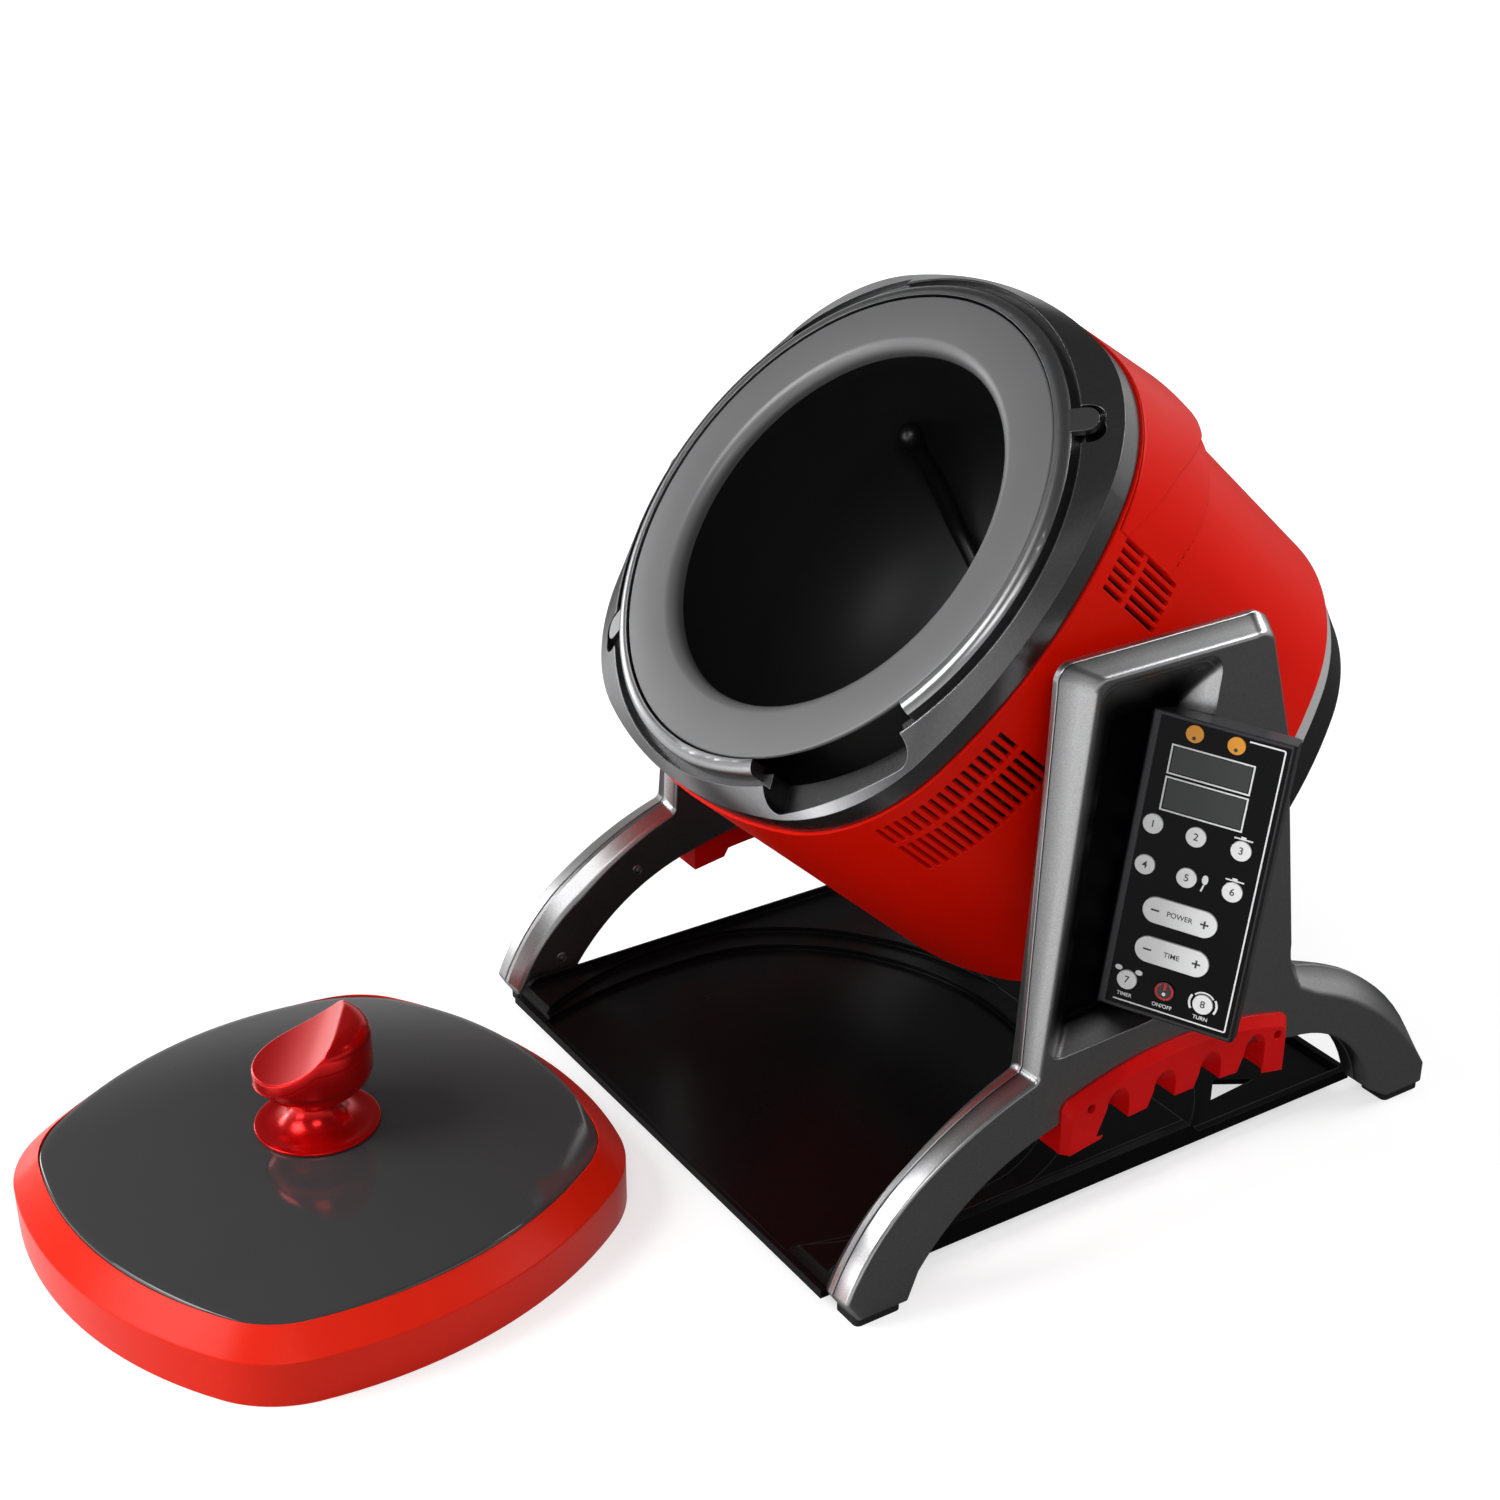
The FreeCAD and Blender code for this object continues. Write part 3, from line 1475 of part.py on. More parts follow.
def drive_plate():
    """Plate across the drum's rear that carries the pot's spindle and motor."""
    rear = -plate_depth - plate_thickness
    front = -plate_depth
    boss_rear = rear - bearing_boss_drop
    post_end = -cap_rear_depth + shell_wall + cap_post_gap
    plate = section_prism(body_section(shell_wall + seat_gap, rear), plate_thickness)
    boss = disc(bearing_radius + bearing_boss_wall, boss_rear, front)
    posts = [disc(cap_post_radius, post_end, rear, centre) for centre in cap_screw_centres()]
    holes = [disc(bearing_radius + seat_gap, boss_rear - cut_margin, front + cut_margin)]
    holes.append(disc(motor_shaft_radius + motor_shaft_hole_gap, boss_rear, front + cut_margin,
                      (0.0, pot_gear_distance)))
    holes += cap_screw_holes(cap_screw_length + 2.0 * cut_margin)
    return plate.fuse([boss] + posts).cut(Part.makeCompound(holes))


def spindle_bearing():
    low = -plate_depth - plate_thickness - bearing_boss_drop
    return ring(spindle_radius + running_gap, bearing_radius, low, low + bearing_length)


def pot_motor():
    """Motor on the back of the drive plate, with a bore for the pinion's shaft."""
    front = -plate_depth - plate_thickness
    rear = front - motor_length
    axis = (0.0, pot_gear_distance)
    can = disc(motor_radius, rear, front, axis)
    tail = disc(motor_tail_radius, rear - motor_tail_length, rear, axis)
    bore = disc(motor_shaft_radius + running_gap, front - motor_bore_depth, front + cut_margin, axis)
    return can.fuse(tail).cut(bore)


# Pot

def shifted(radius, depth, lean, distance):
    """A place on the pot's wall, moved outward along the wall's lean."""
    out, down = polar(distance, lean)
    return radius + out, -depth + down


def bowl_wall(distance):
    """Lip, belly and base of the bowl's wall, moved outward by a distance."""
    return [
        (shifted(pot_shoulder_radius, pot_shoulder_depth, pot_shoulder_lean, distance),
         (pot_belly_radius + distance, -pot_belly_depth)),
        (shifted(pot_heel_radius, pot_heel_depth, pot_heel_lean, distance),
         (pot_base_radius, -pot_base_depth - distance)),
    ]


def pot_bowl():
    """Lower half of the pot, from its belly to its floor."""
    (heel, base) = bowl_wall(pot_wall)[1]
    steps = [bowl_wall(0.0)[1]]
    steps += [(0.0, -pot_floor_depth), (0.0, -pot_floor_depth - pot_wall), base]
    steps.append((heel, (pot_belly_radius + pot_wall, -pot_belly_depth)))
    return turned((pot_belly_radius, -pot_belly_depth), steps)


def pot_neck():
    """Upper half of the pot's wall, drawn in from the belly to the lip and welded to the bowl."""
    (shoulder, belly) = bowl_wall(pot_wall)[0]
    lip = (pot_lip_radius + pot_wall, -pot_rim_depth)
    return turned((pot_lip_radius, -pot_rim_depth), [bowl_wall(0.0)[0], belly, (shoulder, lip)])


def bowl_void():
    """The bowl's inner space, drawn in by a hair so that the blade seats on the wall."""
    steps = [(pot_lip_radius - seat_gap, -pot_rim_depth)]
    steps += bowl_wall(-seat_gap)
    steps.append((0.0, -pot_floor_depth + seat_gap))
    return turned((0.0, -pot_rim_depth), steps)


def pot_rim():
    """Flat flange round the mouth, rolled down into the bowl."""
    lip_end = (pot_lip_radius, -pot_lip_depth - cut_margin)
    back = pot_lip_radius + pot_rim_wall
    steps = [
        (pot_flange_inner_radius, 0.0),
        (pot_lip_bend, lip_end),
        (pot_lip_radius, -pot_rim_depth),
        (back, -pot_rim_depth),
        (back, -pot_lip_depth),
        (pot_lip_back_bend, (pot_flange_inner_radius + cut_margin, -pot_rim_wall)),
        (pot_flange_radius, -pot_rim_wall),
    ]
    return turned((pot_flange_radius, 0.0), steps)


def stirring_blade():
    """Rounded rib up the bowl's wall, with a ball end."""
    places = [point(*polar(pot_belly_radius - inset, angle), rise - pot_base_depth)
              for inset, angle, rise in blade_path]
    runs = []
    for start, end in zip(places, places[1:]):
        runs += [rod(blade_radius, start, end), Part.makeSphere(blade_radius, end)]
    return Part.makeSphere(blade_ball_radius, places[0]).fuse(runs).common(bowl_void())


def pot_spindle():
    """Flanged hub under the bowl with its spindle."""
    top = -pot_floor_depth - pot_wall
    low = -plate_depth - plate_thickness - spindle_tail
    hub = disc(hub_radius, top - hub_thickness, top + hub_rise).cut(pot_bowl())
    return hub.fuse(disc(spindle_radius, low, top - hub_thickness + fuse_overlap)).removeSplitter()


def pot_gear():
    wheel = gear_wheel(pot_gear_module, pot_gear_teeth, gear_thickness, FULL_TURN / 4)
    wheel = wheel.cut(disc(spindle_radius + seat_gap, 0.0, gear_thickness))
    wheel.translate(Z_AXIS * (-gear_front_depth - gear_thickness))
    return wheel


def pot_pinion():
    """Pinion on the pot motor's shaft: a gap of it faces the wheel below."""
    facing = -FULL_TURN / 4 + half_step(pot_pinion_teeth)
    wheel = gear_wheel(pot_gear_module, pot_pinion_teeth, gear_thickness, facing)
    wheel.translate(point(0, pot_gear_distance, -gear_front_depth - gear_thickness))
    shaft_end = -plate_depth - plate_thickness - motor_bore_depth + shaft_end_gap
    shaft = disc(motor_shaft_radius, shaft_end, -gear_front_depth - gear_thickness, (0.0, pot_gear_distance))
    return wheel.fuse(shaft).removeSplitter()


# Lid

lid_place = FreeCAD.Placement(point(lid_centre_x, lid_centre_y, 0), FreeCAD.Rotation(Z_AXIS, lid_turn))


def on_table(shape):
    placed = shape.copy()
    placed.Placement = lid_place.multiply(placed.Placement)
    return placed


def dome_ball(top_z):
    """Ball whose cap rises over the glass from its corners to its middle."""
    reach = lid_corner - lid_bevel_width
    radius = (reach ** 2 + glass_dome ** 2) / (2.0 * glass_dome)
    return Part.makeSphere(radius, point(0, 0, top_z - radius))


def glass_column(gap):
    """The glass outline, drawn through the whole height of the dome."""
    low = glass_edge_z - glass_dome
    return section_prism(lid_section(lid_bevel_width + gap, low), glass_top_z + glass_dome - low)


def lid_glass():
    glass = glass_column(seat_gap).common(dome_ball(glass_top_z))
    glass = glass.cut(dome_ball(glass_top_z - glass_thickness))
    return glass.cut(disc(knob_hole_radius, 0.0, glass_top_z + cut_margin))


def lid_rim():
    """Red ring: an upright wall, a bevel and a ledge under the glass."""
    wall = section_prism(lid_section(0.0, 0.0), lid_wall_height)
    bevel = section_loft(lid_section(0.0, lid_wall_height),
                         lid_section(lid_bevel_width, lid_wall_height + lid_bevel_rise))
    hollow = section_prism(lid_section(lid_skirt, -cut_margin), lid_wall_height - lid_roof + cut_margin)
    opening = section_prism(lid_section(lid_bevel_width + lid_ledge, -cut_margin), glass_top_z + cut_margin)
    glass_space = glass_column(0.0).cut(dome_ball(glass_top_z - glass_thickness - seat_gap))
    return wall.fuse(bevel).cut(hollow).cut(opening).cut(glass_space)


def lid_seal():
    """Rubber ring under the ledge."""
    low = lid_wall_height - lid_roof - seal_height
    outer = section_prism(lid_section(lid_bevel_width + seal_inset, low), seal_height)
    inner = section_prism(lid_section(lid_bevel_width + lid_ledge - seal_inset, low - cut_margin),
                          seal_height + 2.0 * cut_margin)
    return outer.cut(inner)


def above(foot, place):
    """A knob place of radius and height, raised from its foot."""
    radius, height = place
    return radius, foot + height


def knob_stem():
    """Flared foot and slim waist under the head."""
    foot = glass_top_z + seat_gap
    steps = [
        (knob_flange_radius, foot),
        (knob_flange_radius, foot + knob_flange_edge),
        (above(foot, knob_flare), (knob_waist_radius, foot + knob_waist_low)),
        (above(foot, knob_neck), (knob_neck_radius, foot + knob_waist_height)),
        (0.0, foot + knob_waist_height),
    ]
    stem = turned((0.0, foot), steps).cut(dome_ball(glass_top_z))
    return stem.cut(disc(knob_bore_radius, foot - cut_margin, foot + knob_bore_depth))


def knob_head():
    """Round head, cut on a slant with a hollow top."""
    low = glass_top_z + knob_waist_height + 2.0 * seat_gap
    top = low + knob_head_height
    brow_radius, brow_drop = knob_brow
    steps = [
        (knob_neck_radius, low),
        (above(low, knob_chin), (knob_head_radius, low + knob_chin_height)),
        (knob_head_radius, top - knob_brow_drop),
        ((brow_radius, top - brow_drop), (knob_top_radius, top)),
        (0.0, top),
    ]
    scoop = rod(knob_scoop_radius, point(-far, 0, 0), point(far, 0, 0))
    scoop.translate(point(0, -knob_scoop_offset, top + knob_scoop_rise))
    scoop.rotate(ORIGIN, Z_AXIS, knob_scoop_turn)
    return turned((0.0, low), steps).cut(scoop)


def knob_screw():
    """Screw from under the glass into the knob's stem."""
    under = glass_top_z - glass_thickness
    head = disc(knob_screw_head_radius, under - knob_screw_head_height - seat_gap, under - seat_gap)
    return head.fuse(disc(knob_screw_radius, under - cut_margin, under + knob_screw_length))


# All nodes

def stand_nodes():
    nodes = {
        "base_tray": base_tray(),
        "frame_inner_right": inner_frame(),
        "frame_outer_right": right_outer_frame(),
        "frame_inner_left": left_inner_frame(),
        "frame_outer_left": left_outer_frame(),
        "frame_screws": frame_screws(),
        "rubber_feet": rubber_feet(),
        "grip_right": grip(),
        "grip_left": mirrored(grip()),
        "grip_screws": grip_screws(),
        "trunnion_bush_right": bush(1),
        "trunnion_bush_left": bush(-1),
        "tilt_motor": tilt_motor(),
        "tilt_pinion": tilt_pinion(),
        "tilt_gear": tilt_gear(),
        "cord_gland": cord_gland(),
        "console_housing": console_housing(),
        "console_overlay": console_overlay(),
        "display_windows": display_windows(),
        "indicator_lamps": indicator_lamps(),
        "control_board": control_board(),
    }
    for name, (across, down) in key_places.items():
        nodes[name] = key(across, down)
    for name, (across, down) in bar_places.items():
        nodes[name] = rocker_bar(across, down)
    return nodes


def drum_nodes():
    """Nodes drawn in the drum's own frame."""
    return {
        "bezel": bezel(),
        "mouth_collar": mouth_collar(),
        "drum_shell": drum_shell(),
        "drum_hood": drum_hood(),
        "rear_band": rear_band(),
        "rear_cap": rear_cap(),
        "rear_cap_screws": cap_screws(),
        "carrier_ring": carrier_ring(),
        "trunnion_right": trunnion(1, frame_seam_x + trunnion_right_tail),
        "trunnion_left": trunnion(-1, tilt_gear_end_x + trunnion_left_tail),
        "coil_former": coil_former(),
        "induction_coil": induction_coil(),
        "drive_plate": drive_plate(),
        "spindle_bearing": spindle_bearing(),
        "pot_motor": pot_motor(),
        "pot_bowl": pot_bowl(),
        "pot_neck": pot_neck(),
        "pot_rim": pot_rim(),
        "stirring_blade": stirring_blade(),
        "pot_spindle": pot_spindle(),
        "pot_gear": pot_gear(),
        "pot_pinion": pot_pinion(),
    }


def lid_nodes():
    """Nodes drawn about the lid's own centre."""
    return {
        "lid_rim": lid_rim(),
        "lid_glass": lid_glass(),
        "lid_seal": lid_seal(),
        "knob_stem": knob_stem(),
        "knob_head": knob_head(),
        "knob_screw": knob_screw(),
    }


def main():
    os.makedirs("parts", exist_ok=True)
    nodes = stand_nodes()
    for name, shape in drum_nodes().items():
        nodes[name] = in_machine(shape)
    for name, shape in lid_nodes().items():
        nodes[name] = on_table(shape)
    for name, shape in nodes.items():
        shape.exportStep("parts/" + name + ".step")
    print(len(nodes), "nodes written")


main()
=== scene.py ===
import bmesh
import bpy
import json
import math
from mathutils import Matrix, Vector


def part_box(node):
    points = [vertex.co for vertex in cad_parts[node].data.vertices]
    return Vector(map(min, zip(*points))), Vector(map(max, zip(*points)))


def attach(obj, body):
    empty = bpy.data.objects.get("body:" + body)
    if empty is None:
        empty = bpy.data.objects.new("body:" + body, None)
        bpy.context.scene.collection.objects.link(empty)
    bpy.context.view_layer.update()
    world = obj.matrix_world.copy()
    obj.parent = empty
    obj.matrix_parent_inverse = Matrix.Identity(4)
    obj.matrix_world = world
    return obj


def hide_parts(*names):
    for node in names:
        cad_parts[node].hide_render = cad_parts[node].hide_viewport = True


# A countertop cooking robot with its lid beside it. Sizes are millimetres, as on a drawing,
# and a finished mesh is scaled to metres once.

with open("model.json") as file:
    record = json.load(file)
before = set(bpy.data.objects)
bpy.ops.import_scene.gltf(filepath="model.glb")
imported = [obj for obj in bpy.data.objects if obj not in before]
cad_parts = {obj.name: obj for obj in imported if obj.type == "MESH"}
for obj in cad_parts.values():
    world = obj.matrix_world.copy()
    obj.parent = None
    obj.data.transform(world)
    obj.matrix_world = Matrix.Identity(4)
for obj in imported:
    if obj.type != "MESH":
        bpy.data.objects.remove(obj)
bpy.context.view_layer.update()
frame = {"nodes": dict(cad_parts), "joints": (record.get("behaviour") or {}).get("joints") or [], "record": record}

MM = 0.001
FULL_TURN = 2.0 * math.pi


def added(name, data):
    """A new object in the scene."""
    piece = bpy.data.objects.new(name, data)
    bpy.context.scene.collection.objects.link(piece)
    return piece


# Camera at the photograph's viewing angle

def make_camera():
    data = bpy.data.cameras.new("photo_camera")
    data.lens = 57.25
    data.sensor_width = 36.0
    data.clip_start = 0.05
    data.clip_end = 60.0
    camera = added("photo_camera", data)
    camera.location = (0.8922, -0.7044, 0.7319)
    camera.rotation_euler = [math.radians(angle) for angle in (63.984, 0.0, 57.427)]
    bpy.context.scene.camera = camera


make_camera()


# Places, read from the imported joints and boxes

joints = {joint["name"]: joint for joint in frame["joints"]}
record = frame["record"]
node_bodies = {node: body for body, nodes in record["behaviour"]["bodies"].items() for node in nodes}
node_slots = {part["node"]: part["material_slot"] for part in record["subparts"]}


def joint_place(name):
    return Vector(joints[name]["pos_m"]) / MM


def joint_axis(name):
    return Vector(joints[name]["axis"]).normalized()


def middle(node):
    low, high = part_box(node)
    return (Vector(low) + Vector(high)) / (2.0 * MM)


def placed(corner, across, up, out):
    """Matrix whose X, Y and Z run along three directions from a corner."""
    turn = Matrix((across, up, out)).transposed().to_4x4()
    return Matrix.Translation(corner) @ turn


# The drum's own frame has Y up the mouth plane and Z out of the mouth
to_right = Vector((1, 0, 0))
mouth_axis = joint_axis("pot_spin")
drum_place = placed(joint_place("pot_spin"), to_right, mouth_axis.cross(to_right), mouth_axis)

lid_turn = math.radians(12.4)
lid_place = Matrix.Translation((*middle("knob_screw").xy, 0.0)) @ Matrix.Rotation(lid_turn, 4, "Z")

# The console's own frame has X across the face, Y up it and Z out of it
power_bar_across = 31.7
power_bar_down = 93.5
power_bar_pivot_depth = 2.0
face_up = -joint_axis("power_bar_rock")
face_out = -joint_axis("key_one_press")
face_across = face_up.cross(face_out)
face_corner = (joint_place("power_bar_rock") - face_across * power_bar_across + face_up * power_bar_down
               + face_out * power_bar_pivot_depth)
face_place = placed(face_corner, face_across, face_up, face_out)


# Materials: a socket with arithmetic, and a network that makes its own nodes

class Value:
    """An output in a network of nodes, with arithmetic."""

    def __init__(self, network, socket):
        self.network = network
        self.socket = socket

    def maths(self, operation, *terms):
        return self.network.node("Math", {"operation": operation}, dict(enumerate(terms)))

    def __add__(self, other):
        return self.maths("ADD", self, other)

    def __sub__(self, other):
        return self.maths("SUBTRACT", self, other)

    def __mul__(self, other):
        return self.maths("MULTIPLY", self, other)

    def __truediv__(self, other):
        return self.maths("DIVIDE", self, other)

    def most(self, other):
        return self.maths("MAXIMUM", self, other)


class Network:
    """A tree of nodes, each made with its settings and inputs. The prefix starts every kind's name."""

    def __init__(self, tree, prefix="ShaderNode"):
        self.tree = tree
        self.prefix = prefix

    def feed(self, socket, value):
        if isinstance(value, Value):
            self.tree.links.new(value.socket, socket)
        else:
            socket.default_value = value

    def node(self, kind, settings, inputs, output=0):
        made = self.tree.nodes.new(self.prefix + kind)
        for setting, value in settings.items():
            setattr(made, setting, value)
        for socket, value in inputs.items():
            self.feed(made.inputs[socket], value)
        return Value(self, made.outputs[output])

    def place(self):
        return self.node("TexCoord", {}, {}, "Object")

    def ray(self, kind):
        return self.node("LightPath", {}, {}, "Is " + kind + " Ray")

    def ramp(self, value, start, end, first, last, **settings):
        """From a first value at the start to a last value at the end."""
        inputs = {"Value": value, "From Min": start, "From Max": end, "To Min": first, "To Max": last}
        return self.node("MapRange", settings, inputs)

    def mix(self, share, first, second):
        """A blend of two colours."""
        return self.node("Mix", {"data_type": "RGBA"}, {0: share, 6: first, 7: second}, 2)


paints = {}


class Paint(Network):
    """One material with a single principled shader, kept among the paints."""

    def __init__(self, name, colour, roughness, metallic=0.0, ease=0.0, specular=0.5):
        paints[name] = self
        self.material = bpy.data.materials.new(name)
        self.material.use_nodes = True
        super().__init__(self.material.node_tree)
        self.shader = self.tree.nodes["Principled BSDF"]
        self.colour = linear(colour)
        self.ease = ease
        self.set("Base Color", self.colour)
        self.set("Roughness", roughness)
        self.set("Metallic", metallic)
        self.set("Specular IOR Level", specular)

    def set(self, socket, value):
        self.feed(self.shader.inputs[socket], value)

    def noise(self, size, detail, stretch=(1.0, 1.0, 1.0)):
        """Soft noise whose features are about size millimetres across."""
        place = self.node("Mapping", {}, {"Vector": self.place(), "Scale": stretch})
        inputs = {"Vector": place, "Scale": 1.0 / (size * MM), "Detail": detail}
        return self.node("TexNoise", {}, inputs)

    def bump(self, height, depth, strength):
        """Relief of a depth in millimetres, over edges that look eased where the paint asks for it."""
        inputs = {"Strength": strength, "Distance": depth * MM, "Height": height}
        if self.ease:
            inputs["Normal"] = self.node("Bevel", {"samples": 6}, {"Radius": self.ease * MM})
        self.set("Normal", self.node("Bump", {}, inputs))


def linear(colour):
    """A colour written as on a screen, 0 to 255, in the renderer's linear scale."""
    shares = [channel / 255.0 for channel in colour]
    return (*[share / 12.92 if share < 0.04 else ((share + 0.055) / 1.055) ** 2.4 for share in shares], 1.0)


def shaded(colour, factor):
    """A colour made darker or lighter by a factor."""
    return (*[channel * factor for channel in colour[:3]], 1.0)


cloud_tint = 0.05
flake_size = 0.4
flake_shine = 2.4


def grained(name, colour, roughness, grain=0.5, depth=0.02, wear=0.06, **fixed):
    """Moulded plastic: fine grain, a faint cloud in its colour, and marks that change its gloss."""
    paint = Paint(name, colour, roughness, **fixed)
    marks = paint.noise(38.0, 5.0)
    cloud = paint.noise(60.0, 3.0)
    paint.set("Roughness", (marks - 0.5) * (2.0 * wear) + roughness)
    darker, lighter = shaded(paint.colour, 1.0 - cloud_tint), shaded(paint.colour, 1.0 + cloud_tint)
    paint.set("Base Color", paint.mix(cloud, darker, lighter))
    paint.bump(paint.noise(grain, 2.0), depth, 0.6)
    return paint


def lacquered(name, colour, roughness, flake, peel=0.02, **fixed):
    """Metallic lacquer: tiny bright flakes under a skin with a faint orange peel."""
    paint = Paint(name, colour, roughness, **fixed)
    inputs = {"Vector": paint.place(), "Scale": 1.0 / (flake_size * MM)}
    cells = paint.node("TexVoronoi", {"feature": "F1"}, inputs, "Color")
    spark = paint.node("SeparateColor", {}, {"Color": cells})
    paint.set("Base Color", paint.mix(spark * flake, paint.colour, shaded(paint.colour, flake_shine)))
    marks = paint.noise(45.0, 4.0)
    paint.set("Roughness", (marks - 0.5) * 0.08 + roughness)
    paint.bump(paint.noise(2.2, 1.0), peel, 0.3)
    return paint


def turned_metal(name, colour, roughness):
    """Bare metal with fine turning marks and a little staining."""
    paint = Paint(name, colour, roughness, metallic=1.0)
    lines = paint.noise(0.25, 2.0, stretch=(1.0, 0.06, 1.0))
    stain = paint.noise(14.0, 4.0)
    paint.set("Roughness", (stain - 0.5) * 0.2 + roughness)
    paint.set("Base Color", paint.mix(stain, shaded(paint.colour, 0.85), shaded(paint.colour, 1.1)))
    paint.bump(lines, 0.01, 0.4)
    return paint


def blackened_recess(paint, bottom, top):
    """Paints shade into a recess: darkens a paint from one distance off the machine's middle plane to another."""
    side = paint.node("SeparateXYZ", {}, {0: paint.place()}, 0) / MM
    share = paint.ramp(side, bottom, top, 0.0, 1.0)
    flaked = Value(paint, paint.shader.inputs["Base Color"].links[0].from_socket)
    # painted shade: near black at the recess floor, blending back into the flaked colour further out
    paint.set("Base Color", paint.mix(share, linear((10, 10, 11)), flaked))


grained("red_casing", (222, 18, 0), 0.36, grain=1.1, depth=0.010, ease=0.6, specular=0.08)
lacquered("graphite_frame", (120, 120, 122), 0.3, 0.25, metallic=1.0, ease=1.4)
lacquered("graphite_shell", (156, 156, 157), 0.3, 0.2, metallic=1.0)
# graphite of the console's recess, later given painted shade towards its floor
lacquered("graphite_window", (156, 156, 157), 0.3, 0.2, metallic=1.0)
lacquered("bezel_graphite", (108, 108, 109), 0.28, 0.15, peel=0.006, metallic=1.0, ease=0.5)
lacquered("collar_grey", (140, 140, 141), 0.3, 0.08, peel=0.003, metallic=1.0, ease=0.3)
grained("tray_black", (9, 9, 10), 0.26, wear=0.04, ease=0.9, specular=0.1)
lacquered("console_black", (46, 46, 48), 0.3, 0.25, metallic=0.6, ease=1.4)
grained("cap_black", (20, 20, 21), 0.4, specular=0.3)
grained("band_grey", (190, 190, 190), 0.35)
grained("rim_aluminium", (100, 100, 101), 0.42, grain=0.7, depth=0.006, metallic=0.25)
grained("pot_coating", (34, 34, 34), 0.5, grain=0.9, depth=0.02, specular=0.4)
grained("rib_coating", (14, 14, 14), 0.36, grain=0.9, depth=0.02, specular=0.6)
turned_metal("steel", (150, 150, 152), 0.3)
grained("nylon", (225, 222, 210), 0.45)
turned_metal("brass_gear", (190, 150, 80), 0.3)
turned_metal("bronze_bush", (160, 110, 70), 0.35)
turned_metal("copper_winding", (180, 95, 55), 0.35)
grained("former_plastic", (60, 60, 60), 0.5)
turned_metal("motor_steel", (130, 130, 132), 0.35)
grained("rubber_black", (22, 22, 22), 0.7, ease=0.6)
grained("overlay_black", (4, 4, 5), 0.1, wear=0.03, specular=0.08)
grained("display_grey", (52, 53, 53), 0.25, specular=0.3)
grained("lamp_amber", (240, 158, 28), 0.25, ease=0.4)
grained("board_green", (30, 90, 50), 0.4)
grained("key_grey", (244, 244, 244), 0.4, ease=0.35)
grained("lid_red", (222, 34, 12), 0.33, grain=1.0, depth=0.010, specular=0.12)
grained("lid_glass", (58, 58, 59), 0.07, grain=8.0, depth=0.004, wear=0.02)
grained("knob_red", (200, 10, 12), 0.22, grain=3.0, depth=0.004, wear=0.03, metallic=0.6, specular=0.3)
grained("grip_red", (210, 10, 10), 0.3, ease=0.9, specular=0.12)
grained("print_white", (240, 240, 240), 0.5)
grained("print_dark", (52, 52, 52), 0.5)
grained("print_red", (206, 6, 14), 0.4)
grained("key_black", (8, 8, 9), 0.25, ease=0.35)


# Shapes, in millimetres

sharp_angle = math.radians(32.0)


class Form:
    """A mesh built from rows of points."""

    def __init__(self):
        self.mesh = bmesh.new()

    def row(self, points):
        return [self.mesh.verts.new(point) for point in points]

    def skin(self, rows, ring=True, looped=False):
        """Faces between neighbouring rows. A ring joins each row's end to its start."""
        made = [self.row(points) for points in rows]
        pairs = list(zip(made, made[1:]))
        if looped:
            pairs.append((made[-1], made[0]))
        for low, high in pairs:
            count = len(low)
            for place in range(count if ring else count - 1):
                after = (place + 1) % count
                self.mesh.faces.new((low[place], low[after], high[after], high[place]))
        return made

    def cap(self, row):
        self.mesh.faces.new(row)

    def object(self, name, place):
        """Closes poles and seams, turns faces outward, and makes an object at its place in the machine."""
        bmesh.ops.remove_doubles(self.mesh, verts=self.mesh.verts, dist=1e-4)
        bmesh.ops.dissolve_degenerate(self.mesh, edges=self.mesh.edges, dist=1e-4)
        bmesh.ops.recalc_face_normals(self.mesh, faces=self.mesh.faces)
        bmesh.ops.transform(self.mesh, matrix=Matrix.Scale(MM, 4) @ place, verts=self.mesh.verts)
        data = bpy.data.meshes.new(name)
        self.mesh.to_mesh(data)
        self.mesh.free()
        data.shade_smooth()
        data.set_sharp_from_angle(angle=sharp_angle)
        return added(name, data)


def polar(radius, angle):
    return radius * math.cos(angle), radius * math.sin(angle)


def turns(count):
    return [FULL_TURN * step / count for step in range(count)]


def eased(corners, closed=True, step=math.radians(18.0), even_steps=None):
    """Points along a profile. A corner is two coordinates, and a radius where it is rounded."""
    points = []
    count = len(corners)
    for place, corner in enumerate(corners):
        here = Vector(corner[:2])
        ends = not closed and place in (0, count - 1)
        if len(corner) < 3 or ends:
            points.append(here)
            continue
        before = (Vector(corners[place - 1][:2]) - here).normalized()
        after = (Vector(corners[(place + 1) % count][:2]) - here).normalized()
        half = before.angle(after) / 2.0
        reach = corner[2] / math.tan(half)
        centre = here + (before + after).normalized() * (corner[2] / math.sin(half))
        start = here + before * reach - centre
        sweep = start.angle_signed(here + after * reach - centre)
        steps = even_steps or max(2, round(abs(sweep) / step))
        for part in range(steps + 1):
            points.append(centre + Matrix.Rotation(-sweep * part / steps, 2) @ start)
    return points


